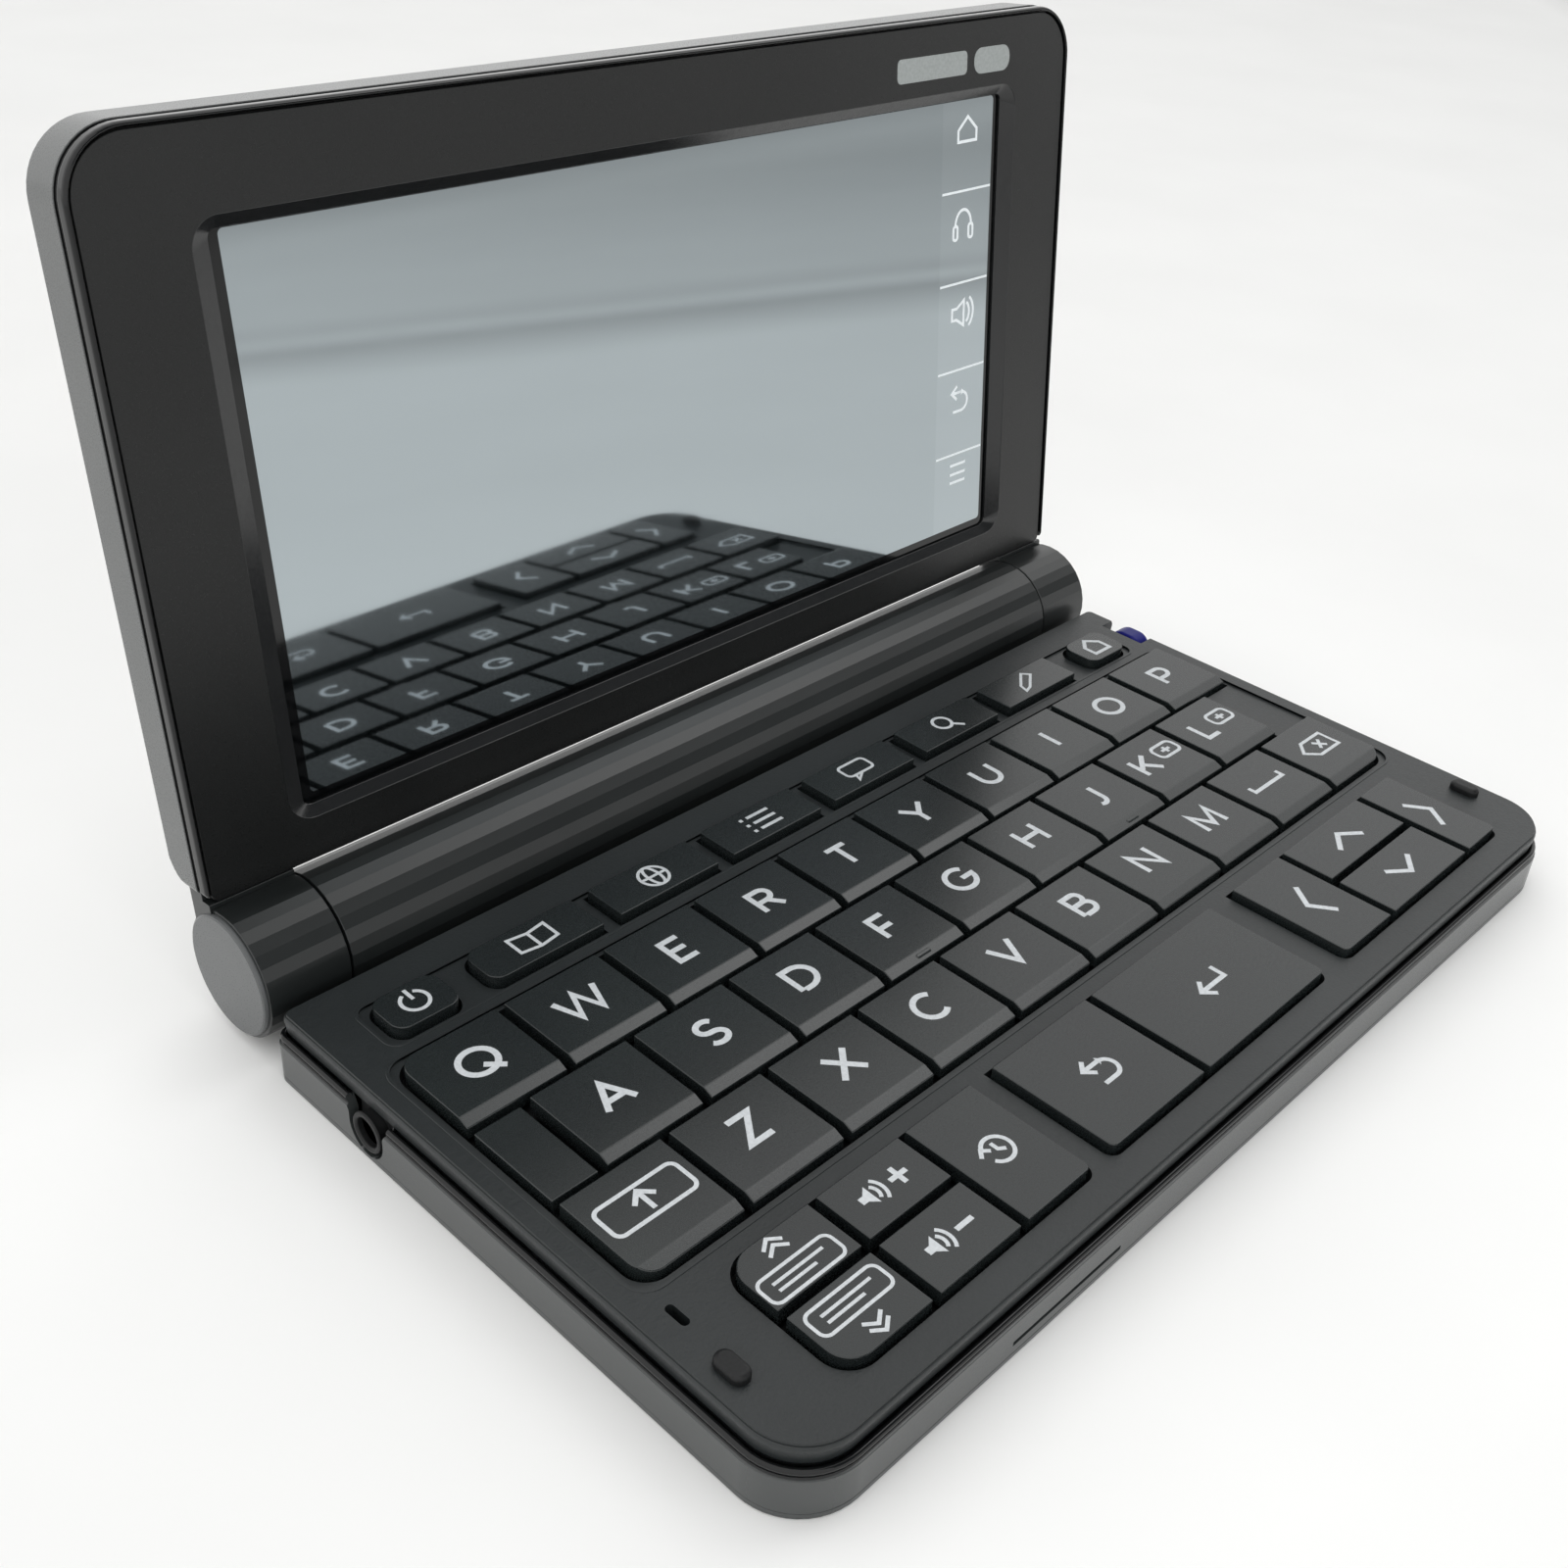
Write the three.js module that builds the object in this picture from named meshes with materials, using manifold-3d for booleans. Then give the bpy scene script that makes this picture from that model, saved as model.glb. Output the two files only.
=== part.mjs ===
// A clamshell electronic dictionary, open on a table, in millimetres with +Z up.
// The base stands on its feet, the keys face up, and the lid leans back on a barrel hinge.
// The lid's pieces are drawn in the lid's own frame: x along the hinge, y up the screen
// and z out of the screen's face, with the hinge axis at its origin.
import * as THREE from 'three';
import { mergeVertices } from 'three/addons/utils/BufferGeometryUtils.js';
import Module from 'manifold-3d';

// Overall sizes
const WIDTH = 148;
const HALF = WIDTH / 2;
const CASE_FRONT = -44.6;
const CASE_REAR = 35.0;
const HINGE_Y = 43.4;
const HINGE_Z = 8.7;
const LID_LEAN_DEGREES = 6;

// Clearances
const GAP = 0.3;
const CUT_PAST = 1.0;

// Lower case
const FOOT_HEIGHT = 0.5;
const FOOT_RADIUS = 4.0;
const FOOT_INSET_X = 18.0;
const FOOT_INSET_FRONT = 8.0;
const FOOT_INSET_REAR = 6.0;
const FLOOR = 1.2;
const WALL = 1.2;
const WALL_TOP = 5.2;
const RIM_HEIGHT = 1.7;
const RIM_INSET = 0.25;
const CASE_CORNER = 7.6;
const CASE_REAR_CORNER = 1.8;
const CASE_BOTTOM_ROUND = 0.5;
const SADDLE_END_GAP = 1.0;
const SADDLE_REACH = 4.0;
const POST_RADIUS = 2.5;
const POST_INSET = 8.0;
const POST_FRONT_Y = -38.0;
const POST_REAR_Y = 30.4;
const SCREW_RADIUS = 1.1;
const SCREW_WELL_RADIUS = 2.0;
const SCREW_WELL_DEPTH = 1.4;
const BOARD_STUD_RADIUS = 1.8;
const LANYARD_SLIT_INSET = 29.0;
const LANYARD_SLIT_LENGTH = 17.5;
const LANYARD_SLIT_LOW = 1.9;
const LANYARD_SLIT_HEIGHT = 0.6;
const SPEAKER_SLOT_LENGTH = 14.0;
const SPEAKER_SLOT_WIDTH = 1.2;
const SPEAKER_SLOT_PITCH = 2.6;
const SPEAKER_INSET = 40.0;
const SPEAKER_Y = -12.0;

// Keyboard deck
const DECK_UNDERSIDE = 6.3;
const DECK_PLATE = 0.6;
const DECK_GROOVE = 0.4;
const DECK_SLAB = 1.6;
const DECK_INSET = 0.25;
const DECK_EDGE_REACH = 0.65;
const DECK_EDGE_DROP = 1.3;
const FIELD_DEPTH = 0.25;
const FIELD_MARGIN = 1.1;
const FIELD_CORNER = 2.5;
const STRIP_FRONT = 21.3;
const STRIP_REAR = 29.5;
const STRIP_CORNER = 1.5;
const STRIP_OVERHANG = 2.2;
const MIC_INSET = 4.4;
const MIC_Y = -24.45;
const MIC_LENGTH = 2.9;
const MIC_WIDTH = 1.0;
const BUMPER_INSET = 3.8;
const BUMPER_Y = -32.3;
const BUMPER_LENGTH = 3.6;
const BUMPER_WIDTH = 2.2;
const BUMPER_RISE = 1.1;
const STYLUS_NOTCH_SPARE = 1.0;

// Keys
const KEY_GAP_X = 1.2;
const KEY_GAP_Y = 1.0;
const KEY_TOP = 9.9;
const KEY_UNDERSIDE = 7.9;
const KEY_SLOPE_DEPTH = 1.35;
const KEY_SLOPE_DROP = 0.55;
const KEY_CORNER = 2.4;
const LETTERS_INSET = 3.95;
const LETTERS_ACROSS = 10;
const LETTERS_REAR = 19.2;
const LETTERS_MIDDLE = 6.0;
const LETTERS_FRONT = -7.2;
const LETTERS_END = -20.4;
const CLUSTER_REAR = -23.2;
const CLUSTER_FRONT = -40.2;
const CLUSTER_CORNER = 3.0;
const CLUSTER_SMALL_CORNER = 0.9;
const CLUSTER_INSET_LEFT = 10.1;
const CLUSTER_INSET_RIGHT = 10.0;
const LEFT_GROUP_SPAN_SHARES = [0, 0.2885];
const MIDDLE_GROUP_SPAN_SHARES = [0.3096, 0.6489];
const RIGHT_GROUP_SPAN_SHARES = [0.6818, 1];
const LEFT_GROUP_SHARES = [0, 0.336, 0.691, 1];
const MIDDLE_GROUP_SHARES = [0, 0.411, 1];
const RIGHT_GROUP_SHARES = [0, 0.292, 0.786, 1];
const CLUSTER_SPLIT_SHARE = 0.482;
const TOP_ROW_FRONT = 22.1;
const TOP_ROW_REAR = 28.3;
const TOP_KEY_TOP = 10.0;
const TOP_KEY_CORNER = 1.8;
const POWER_INSET = 7.6;
const HOME_INSET = 7.7;
const END_KEY_WIDTH = 8.4;
const FUNCTION_KEYS = 6;
const FUNCTION_KEY_GAP = 2.65;
const POWER_KEY_GAP = 4.1;
const HOME_KEY_GAP = 4.95;
const POCKET_GAP = 0.4;
const ISLAND_TOP = 9.4;
const STEM_RADIUS = 1.2;
const STEM_END = 5.3;
const STEM_HEAD_RADIUS = 1.8;
const STEM_HEAD_HEIGHT = 0.7;
const TOP_STEM_RADIUS = 0.75;
const TOP_STEM_Y = 27.5;
const TOP_STEM_HOOK = 1.4;

// Circuit board
const BOARD_UNDERSIDE = 3.0;
const BOARD_THICKNESS = 1.2;
const BOARD_MARGIN = 1.6;
const BOARD_REAR = 31.9;
const BOARD_CORNER = 4.6;
const CHIP_HEIGHT = 0.8;
const PROCESSOR_SIDE = 12.0;
const MEMORY_LENGTH = 14.0;
const MEMORY_WIDTH = 8.0;
const CHIP_Y = -3.0;
const PROCESSOR_X = -20.0;
const MEMORY_X = 4.0;

// Headphone jack
const JACK_Y = 17.9;
const JACK_Z = 3.5;
const JACK_RING_RADIUS = 2.45;
const JACK_HOLE_RADIUS = 1.75;
const JACK_HOLE_DEPTH = 14.0;
const JACK_BODY_LENGTH = 15.0;
const JACK_BODY_WIDTH = 5.6;
const JACK_BODY_LOW = 2.0;
const JACK_BODY_TOP = 6.0;
const JACK_NOTCH_MARGIN = 0.5;
const JACK_NOTCH_FLARE = 0.6;

// Stylus
const STYLUS_Y = 24.8;
const STYLUS_Z = 4.0;
const STYLUS_RADIUS = 1.6;
const STYLUS_LENGTH = 61.7;
const STYLUS_TIP_LENGTH = 6.0;
const STYLUS_TIP_RADIUS = 0.5;
const STYLUS_HEAD_LENGTH = 3.3;
const STYLUS_HEAD_Y = 25.3;
const STYLUS_HEAD_Z = 5.9;
const STYLUS_HEAD_HALF_WIDTH = 2.9;
const STYLUS_HEAD_HALF_HEIGHT = 3.1;
const STYLUS_HEAD_CORNER = 2.2;
const STYLUS_HEAD_ROUND = 0.6;
const CRADLE_NEAR_INSET = 40.0;
const CRADLE_FAR_INSET = 20.0;
const CRADLE_WIDTH = 1.4;

// Hinge barrel, battery bay and cells
const BARREL_RADIUS = 7.8;
const BARREL_INSET = 11.0;
const BARREL_SIDES = 32;
const BARREL_WALL = 1.4;
const BAY_INSET = 13.5;
const DOOR_INSET = 1.5;
const DOOR_FROM_DEGREES = -92;
const DOOR_TO_DEGREES = -2;
const DOOR_GRIP_PITCH = 2.4;
const DOOR_GRIP_WIDTH = 1.0;
const DOOR_GRIP_DEPTH = 0.4;
const DOOR_GRIP_INSET = 8.0;
const CRADLE_RIB_HEIGHT = 0.8;
const CRADLE_RIB_WIDTH = 2.0;
const CRADLE_RIB_PITCH = 30.0;
const CELL_ROOM = 0.35;
const CELL_CONTACT_ROOM = 5.0;
const CELL_EDGE = 0.5;
const NUB_RADIUS = 1.9;
const NUB_LENGTH = 0.8;
const STUB_RADIUS = 2.5;
const STUB_LENGTH = 5.0;
const SHAFT_RADIUS = 1.8;
const SHAFT_IN_BARREL = 5.0;
const SHAFT_IN_KNUCKLE = 7.0;
const SHAFT_COLLAR_RADIUS = 2.6;
const SHAFT_COLLAR_WIDTH = 1.6;
const SHAFT_COLLAR_SET = 1.6;

// Lid
const LID_BOTTOM = 8.8;
const LID_TOP = 88.1;
const LID_BACK = -8.6;
const LID_BACK_WALL = 1.2;
const LID_SIDE_TOP = -3.3;
const LID_LIP_TOP = -2.3;
const LID_BEAD_TOP = -1.3;
const LID_BEAD_INSET = 0.1;
const LID_BEAD_WIDTH = 0.5;
const LID_CORNER = 7.0;
const LID_LOW_CORNER = 1.0;
const LID_HEEL_ROUND = 4.5;
const LID_BACK_ROUND = 0.4;
const KNUCKLE_BEVEL = 0.5;
const WEB_LOW = 3.0;
const WEB_HIGH = 10.0;
const WEB_STEP = 8.0;
const WEB_BACK = -5.5;
const WEB_FRONT = -1.6;
const BEZEL_FACE = -1.6;
const BEZEL_FLANGE = 0.4;
const BEZEL_BACK = -2.7;
const BEZEL_INSET = 0.9;
const BEZEL_LOW = 8.3;
const BEZEL_HIGH = 87.3;
const BEZEL_CORNER = 6.0;
const WINDOW_INSET = 11.5;
const WINDOW_LOW = 13.4;
const WINDOW_HIGH = 78.7;
const WINDOW_SIDE_SLOPE = 2.2;
const WINDOW_LOW_SLOPE = 1.1;
const WINDOW_HIGH_SLOPE = 1.3;
const SCREEN_INSET = 10.0;
const SCREEN_LOW = 11.5;
const SCREEN_HIGH = 81.0;
const SCREEN_FACE = -3.0;
const SCREEN_GLASS = 1.1;
const SCREEN_BACK = -6.2;
const SCREEN_MODULE_INSET = 3.0;
const SCREEN_CORNER = 1.0;
const LID_PAD_RADIUS = 2.4;
const LID_PAD_INSET = 29.0;
const LID_POST_INSET = 5.0;
const LID_POST_LOW = 17.0;
const LID_POST_HIGH = 78.0;

// Sizes that follow from those above
const FLOOR_TOP = FOOT_HEIGHT + FLOOR;
const RIM_TOP = WALL_TOP + RIM_HEIGHT;
const SLAB_LOW = RIM_TOP + DECK_GROOVE;
const DECK_TOP = SLAB_LOW + DECK_SLAB;
const POCKET_FLOOR = DECK_UNDERSIDE + DECK_PLATE;
const BOARD_TOP = BOARD_UNDERSIDE + BOARD_THICKNESS;
const INNER_HALF = HALF - WALL;
const INNER_FRONT = CASE_FRONT + WALL;
const INNER_REAR = CASE_REAR - WALL;
const BAY_RADIUS = BARREL_RADIUS - BARREL_WALL;
const CRADLE_RIB_RADIUS = BAY_RADIUS - CRADLE_RIB_HEIGHT;
const CELL_RADIUS = CRADLE_RIB_RADIUS - CELL_ROOM;
const BARREL_HALF = HALF - BARREL_INSET;
const KNUCKLE_START = BARREL_HALF + GAP;
const SADDLE_HALF = BARREL_HALF - SADDLE_END_GAP;
const BAY_HALF = BARREL_HALF - BAY_INSET;
const DOOR_HALF = BAY_HALF - DOOR_INSET;
const DOOR_GRIP_X = DOOR_HALF - DOOR_GRIP_INSET;
const CELL_LENGTH = BAY_HALF - CELL_CONTACT_ROOM - NUB_LENGTH;
const SHAFT_INNER_END = BARREL_HALF - SHAFT_IN_BARREL;
const SHAFT_OUTER_END = BARREL_HALF + SHAFT_IN_KNUCKLE;
const SHAFT_COLLAR_X = SHAFT_INNER_END + SHAFT_COLLAR_SET;
const POST_X = HALF - POST_INSET;
const LANYARD_SLIT_START = -HALF + LANYARD_SLIT_INSET;
const SPEAKER_X = HALF - SPEAKER_INSET;
const MIC_X = -HALF + MIC_INSET;
const BUMPER_X = HALF - BUMPER_INSET;
const KEY_PITCH = (WIDTH - 2 * LETTERS_INSET) / LETTERS_ACROSS;
const LETTERS_HALF = KEY_PITCH * LETTERS_ACROSS / 2;
const CLUSTER_START = -HALF + CLUSTER_INSET_LEFT;
const CLUSTER_SPAN = WIDTH - CLUSTER_INSET_LEFT - CLUSTER_INSET_RIGHT;
const POWER_START = -HALF + POWER_INSET;
const HOME_START = HALF - HOME_INSET - END_KEY_WIDTH;
const FUNCTION_START = POWER_START + END_KEY_WIDTH + POWER_KEY_GAP;
const FUNCTION_PITCH = (HOME_START - HOME_KEY_GAP + FUNCTION_KEY_GAP - FUNCTION_START) / FUNCTION_KEYS;
const FUNCTION_WIDTH = FUNCTION_PITCH - FUNCTION_KEY_GAP;
const STYLUS_HEAD_X = HALF - STYLUS_HEAD_LENGTH;
const STYLUS_TIP_X = STYLUS_HEAD_X - STYLUS_LENGTH;
const CRADLE_NEAR_X = HALF - CRADLE_NEAR_INSET;
const CRADLE_FAR_X = HALF - CRADLE_FAR_INSET;
const LID_PAD_X = HALF - LID_PAD_INSET;
const LID_POST_X = HALF - LID_POST_INSET;
const BEZEL_HALF = HALF - BEZEL_INSET;
const WINDOW_HALF = HALF - WINDOW_INSET;
const SCREEN_HALF = HALF - SCREEN_INSET;
const LID_TURN = THREE.MathUtils.degToRad(90 - LID_LEAN_DEGREES);
const PLAN_STEPS = 6;
const ROUND_STEPS = 3;
const DOOR_STEPS = 8;
const RIB_STEPS = 16;
const SMALL_SIDES = 8;
const ROD_SIDES = 16;

const wasm = await Module();
wasm.setup();

// Solids from three.js geometries, and back

function solid(geometry) {
  geometry.deleteAttribute('normal');
  geometry.deleteAttribute('uv');
  const merged = mergeVertices(geometry);
  const corners = merged.index.array;
  const kept = [];
  for (let i = 0; i < corners.length; i += 3) {
    const [a, b, c] = [corners[i], corners[i + 1], corners[i + 2]];
    if (a !== b && b !== c && c !== a) kept.push(a, b, c);
  }
  const mesh = new wasm.Mesh({
    numProp: 3,
    vertProperties: new Float32Array(merged.attributes.position.array),
    triVerts: new Uint32Array(kept),
  });
  return new wasm.Manifold(mesh);
}

function surface(body) {
  const mesh = body.getMesh();
  const shared = new THREE.BufferGeometry();
  shared.setAttribute('position', new THREE.BufferAttribute(mesh.vertProperties, 3));
  shared.setIndex(new THREE.BufferAttribute(mesh.triVerts, 1));
  const flat = shared.toNonIndexed();
  flat.computeVertexNormals();
  return flat;
}

function joined(bodies) {
  return bodies.reduce((sum, body) => sum.add(body));
}

function cut(body, tools) {
  return tools.reduce((left, tool) => left.subtract(tool), body);
}

// A closed outline through corners [x, y, radius], each rounded by an arc
function outline(corners) {
  const shape = new THREE.Shape();
  corners.forEach(([x, y, radius], i) => {
    const corner = new THREE.Vector2(x, y);
    const before = corners[(i + corners.length - 1) % corners.length];
    const after = corners[(i + 1) % corners.length];
    const back = new THREE.Vector2(before[0], before[1]).sub(corner).normalize();
    const ahead = new THREE.Vector2(after[0], after[1]).sub(corner).normalize();
    if (!radius) {
      shape[i ? 'lineTo' : 'moveTo'](x, y);
      return;
    }
    const half = Math.acos(THREE.MathUtils.clamp(back.dot(ahead), -1, 1)) / 2;
    const reach = radius / Math.tan(half);
    const start = corner.clone().addScaledVector(back, reach);
    const end = corner.clone().addScaledVector(ahead, reach);
    const middle = back.clone().add(ahead).normalize();
    const centre = corner.clone().addScaledVector(middle, radius / Math.sin(half));
    const from = Math.atan2(start.y - centre.y, start.x - centre.x);
    const to = Math.atan2(end.y - centre.y, end.x - centre.x);
    const clockwise = back.cross(ahead) > 0;
    shape[i ? 'lineTo' : 'moveTo'](start.x, start.y);
    shape.absarc(centre.x, centre.y, radius, from, to, clockwise);
  });
  shape.closePath();
  return shape;
}

// A rectangle whose corners have radii in the order front left, front right, rear right, rear left
function panel(x0, x1, y0, y1, radii = [0, 0, 0, 0]) {
  return outline([[x0, y0, radii[0]], [x1, y0, radii[1]], [x1, y1, radii[2]], [x0, y1, radii[3]]]);
}

function slab(shape, low, high, steps = ROUND_STEPS) {
  const settings = { depth: high - low, bevelEnabled: false, curveSegments: steps };
  return solid(new THREE.ExtrudeGeometry(shape, settings).translate(0, 0, low));
}

// A prism from z = 0 up whose two rims are rounded, each by so much height and width
function rounded(shape, height, rimHeight, rimWidth, rimSteps, steps) {
  const settings = {
    depth: height - 2 * rimHeight,
    bevelThickness: rimHeight,
    bevelSize: rimWidth,
    bevelOffset: -rimWidth,
    bevelSegments: rimSteps,
    curveSegments: steps,
  };
  return new THREE.ExtrudeGeometry(shape, settings).translate(0, 0, rimHeight);
}

// A profile drawn in y and z, run along x
function bar(shape, start, end, steps = ROUND_STEPS) {
  const settings = { depth: end - start, bevelEnabled: false, curveSegments: steps };
  const geometry = new THREE.ExtrudeGeometry(shape, settings).translate(0, 0, start);
  const along = new THREE.Matrix4().makeBasis(
    new THREE.Vector3(0, 1, 0),
    new THREE.Vector3(0, 0, 1),
    new THREE.Vector3(1, 0, 0),
  );
  return solid(geometry.applyMatrix4(along));
}

function block(x0, x1, y0, y1, z0, z1) {
  const geometry = new THREE.BoxGeometry(x1 - x0, y1 - y0, z1 - z0);
  return solid(geometry.translate((x0 + x1) / 2, (y0 + y1) / 2, (z0 + z1) / 2));
}

function post(radius, x, y, low, high, sides = SMALL_SIDES) {
  const geometry = new THREE.CylinderGeometry(radius, radius, high - low, sides);
  return solid(geometry.rotateX(Math.PI / 2).translate(x, y, (low + high) / 2));
}

// A round bar along x, turned from a profile of [x, radius] steps
function turned(steps, y, z, sides = ROD_SIDES, turn = 0) {
  const profile = steps.map(([x, radius]) => new THREE.Vector2(radius, x));
  const geometry = new THREE.LatheGeometry(profile, sides).rotateZ(-Math.PI / 2).rotateX(turn);
  return solid(geometry.translate(0, y, z));
}

function rod(radius, start, end, y, z, sides = ROD_SIDES) {
  return turned([[start, 0], [start, radius], [end, radius], [end, 0]], y, z, sides);
}

function stadium(x, y, width, length) {
  const radius = width / 2 - width / 100;
  return panel(x - width / 2, x + width / 2, y - length / 2, y + length / 2, Array(4).fill(radius));
}

// Keys: each has a cap outline, a height, a stem place and a stem size

function letterKey(name, row, column, start, more = {}) {
  const rears = [LETTERS_REAR, LETTERS_MIDDLE, LETTERS_FRONT, LETTERS_END];
  const left = start + column * KEY_PITCH;
  return {
    name,
    x0: left + KEY_GAP_X / 2,
    x1: left + KEY_PITCH - KEY_GAP_X / 2,
    y0: rears[row + 1] + KEY_GAP_Y / 2,
    y1: rears[row] - KEY_GAP_Y / 2,
    top: KEY_TOP,
    sloped: true,
    ...more,
  };
}

function letterRow(names, row) {
  const start = -names.length * KEY_PITCH / 2;
  return names.map((name, column) => letterKey(name, row, column, start));
}

// The two ends of a group of keys in the front rows
function groupEnds(spanShares) {
  return spanShares.map((share) => CLUSTER_START + CLUSTER_SPAN * share);
}

function clusterKey(name, [start, end], shares, cell, half, radii = [0, 0, 0, 0]) {
  const width = end - start;
  const split = CLUSTER_REAR + (CLUSTER_FRONT - CLUSTER_REAR) * CLUSTER_SPLIT_SHARE;
  const rear = half === 'front' ? split : CLUSTER_REAR;
  const front = half === 'rear' ? split : CLUSTER_FRONT;
  return {
    name,
    x0: start + width * shares[cell] + KEY_GAP_X / 2,
    x1: start + width * shares[cell + 1] - KEY_GAP_X / 2,
    y0: front + KEY_GAP_Y / 2,
    y1: rear - KEY_GAP_Y / 2,
    top: KEY_TOP,
    radii,
  };
}

function topKey(name, start, width, radii) {
  return {
    name,
    x0: start,
    x1: start + width,
    y0: TOP_ROW_FRONT,
    y1: TOP_ROW_REAR,
    top: TOP_KEY_TOP,
    radii,
    hooked: true,
  };
}

function letterKeys() {
  const letters = (row) => [...row].map((letter) => `key_${letter}`);
  const rows = [
    letterRow(letters('qwertyuiop'), 0),
    letterRow(letters('asdfghjkl'), 1),
    letterRow(['key_shift', ...letters('zxcvbnm'), 'key_space', 'key_delete'], 2),
  ];
  rows[0][0].radii = [0, 0, 0, KEY_CORNER];
  rows[2][0].radii = [KEY_CORNER, 0, 0, 0];
  rows[2][9].radii = [0, KEY_CORNER, 0, 0];
  return rows.flat();
}

function clusterKeys() {
  const left = [groupEnds(LEFT_GROUP_SPAN_SHARES), LEFT_GROUP_SHARES];
  const middle = [groupEnds(MIDDLE_GROUP_SPAN_SHARES), MIDDLE_GROUP_SHARES];
  const right = [groupEnds(RIGHT_GROUP_SPAN_SHARES), RIGHT_GROUP_SHARES];
  const round = CLUSTER_CORNER;
  const small = CLUSTER_SMALL_CORNER;
  return [
    clusterKey('key_previous', ...left, 0, 'rear', [0, 0, 0, round]),
    clusterKey('key_next', ...left, 0, 'front', [round, 0, 0, 0]),
    clusterKey('key_volume_up', ...left, 1, 'rear'),
    clusterKey('key_volume_down', ...left, 1, 'front'),
    clusterKey('key_history', ...left, 2, 'whole', [0, small, 0, 0]),
    clusterKey('key_back', ...middle, 0, 'whole', [small, 0, 0, 0]),
    clusterKey('key_enter', ...middle, 1, 'whole', [0, small, 0, 0]),
    clusterKey('key_left', ...right, 0, 'whole', [small, 0, 0, 0]),
    clusterKey('key_up', ...right, 1, 'rear'),
    clusterKey('key_down', ...right, 1, 'front'),
    clusterKey('key_right', ...right, 2, 'whole', [0, small, 0, 0]),
  ];
}

function topKeys() {
  const round = TOP_KEY_CORNER;
  const keys = [topKey('key_power', POWER_START, END_KEY_WIDTH, Array(4).fill(round))];
  for (let i = 0; i < FUNCTION_KEYS; i += 1) {
    const radii = i ? Array(4).fill(0) : [round, 0, 0, round];
    keys.push(topKey(`key_function_${i + 1}`, FUNCTION_START + i * FUNCTION_PITCH, FUNCTION_WIDTH, radii));
  }
  keys.push(topKey('key_home', HOME_START, END_KEY_WIDTH, Array(4).fill(round)));
  return keys;
}

const KEYS = [...letterKeys(), ...clusterKeys(), ...topKeys()];

function stemOf(key) {
  const x = (key.x0 + key.x1) / 2;
  if (key.hooked) return { x, y: TOP_STEM_Y, radius: TOP_STEM_RADIUS };
  return { x, y: (key.y0 + key.y1) / 2, radius: STEM_RADIUS };
}

function keyCap(key) {
  const plan = slab(panel(key.x0, key.x1, key.y0, key.y1, key.radii), KEY_UNDERSIDE, key.top);
  if (!key.sloped) return plan;
  const side = outline([
    [key.y0, KEY_UNDERSIDE, 0],
    [key.y1, KEY_UNDERSIDE, 0],
    [key.y1, key.top, 0],
    [key.y0 + KEY_SLOPE_DEPTH, key.top, 0],
    [key.y0, key.top - KEY_SLOPE_DROP, 0],
  ]);
  return plan.intersect(bar(side, key.x0 - CUT_PAST, key.x1 + CUT_PAST));
}

// A cap, its stem through the deck's plate, and the head or hook that holds it in
function keySolid(key) {
  const stem = stemOf(key);
  const shaft = post(stem.radius, stem.x, stem.y, STEM_END, KEY_UNDERSIDE + STEM_HEAD_HEIGHT);
  const headTop = STEM_END + STEM_HEAD_HEIGHT;
  if (!key.hooked) {
    const head = post(STEM_HEAD_RADIUS, stem.x, stem.y, STEM_END, headTop);
    return joined([keyCap(key), shaft, head]);
  }
  const [left, right] = [stem.x - stem.radius / 2, stem.x + stem.radius / 2];
  const hook = block(left, right, stem.y, stem.y + TOP_STEM_HOOK, STEM_END, headTop);
  return joined([keyCap(key), shaft, hook]);
}

// Base pieces

function caseShell() {
  const round = CASE_BOTTOM_ROUND;
  const radii = [CASE_CORNER, CASE_CORNER, CASE_REAR_CORNER, CASE_REAR_CORNER];
  const height = WALL_TOP + 2 * round - FOOT_HEIGHT;
  const plan = panel(-HALF, HALF, CASE_FRONT, CASE_REAR, radii);
  const tub = solid(rounded(plan, height, round, round, 2, PLAN_STEPS).translate(0, 0, FOOT_HEIGHT));
  const above = block(-WIDTH, WIDTH, -WIDTH, WIDTH, WALL_TOP, WIDTH);
  const inset = RIM_INSET;
  const rimRadii = radii.map((radius) => radius - inset);
  const rim = panel(-HALF + inset, HALF - inset, CASE_FRONT + inset, CASE_REAR - inset, rimRadii);
  return tub.subtract(above).add(slab(rim, FLOOR_TOP, RIM_TOP, PLAN_STEPS));
}

function caseHollow() {
  const front = CASE_CORNER - WALL;
  const rear = CASE_REAR_CORNER - WALL;
  const plan = panel(-INNER_HALF, INNER_HALF, INNER_FRONT, INNER_REAR, [front, front, rear, rear]);
  return slab(plan, FLOOR_TOP, RIM_TOP + CUT_PAST, PLAN_STEPS);
}

// The web behind the rear wall that carries the hinge barrel
function saddle() {
  const rear = CASE_REAR + SADDLE_REACH;
  const profile = outline([
    [INNER_REAR, FOOT_HEIGHT, 0],
    [rear, FOOT_HEIGHT, 0],
    [rear, WALL_TOP, 0],
    [INNER_REAR, WALL_TOP, 0],
  ]);
  const reach = SADDLE_HALF + CUT_PAST;
  const groove = rod(BARREL_RADIUS + GAP, -reach, reach, HINGE_Y, HINGE_Z, BARREL_SIDES);
  return bar(profile, -SADDLE_HALF, SADDLE_HALF).subtract(groove);
}

function postPlaces() {
  const places = [];
  for (const x of [-POST_X, POST_X]) {
    for (const y of [POST_FRONT_Y, POST_REAR_Y]) places.push([x, y]);
  }
  return places;
}

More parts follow.
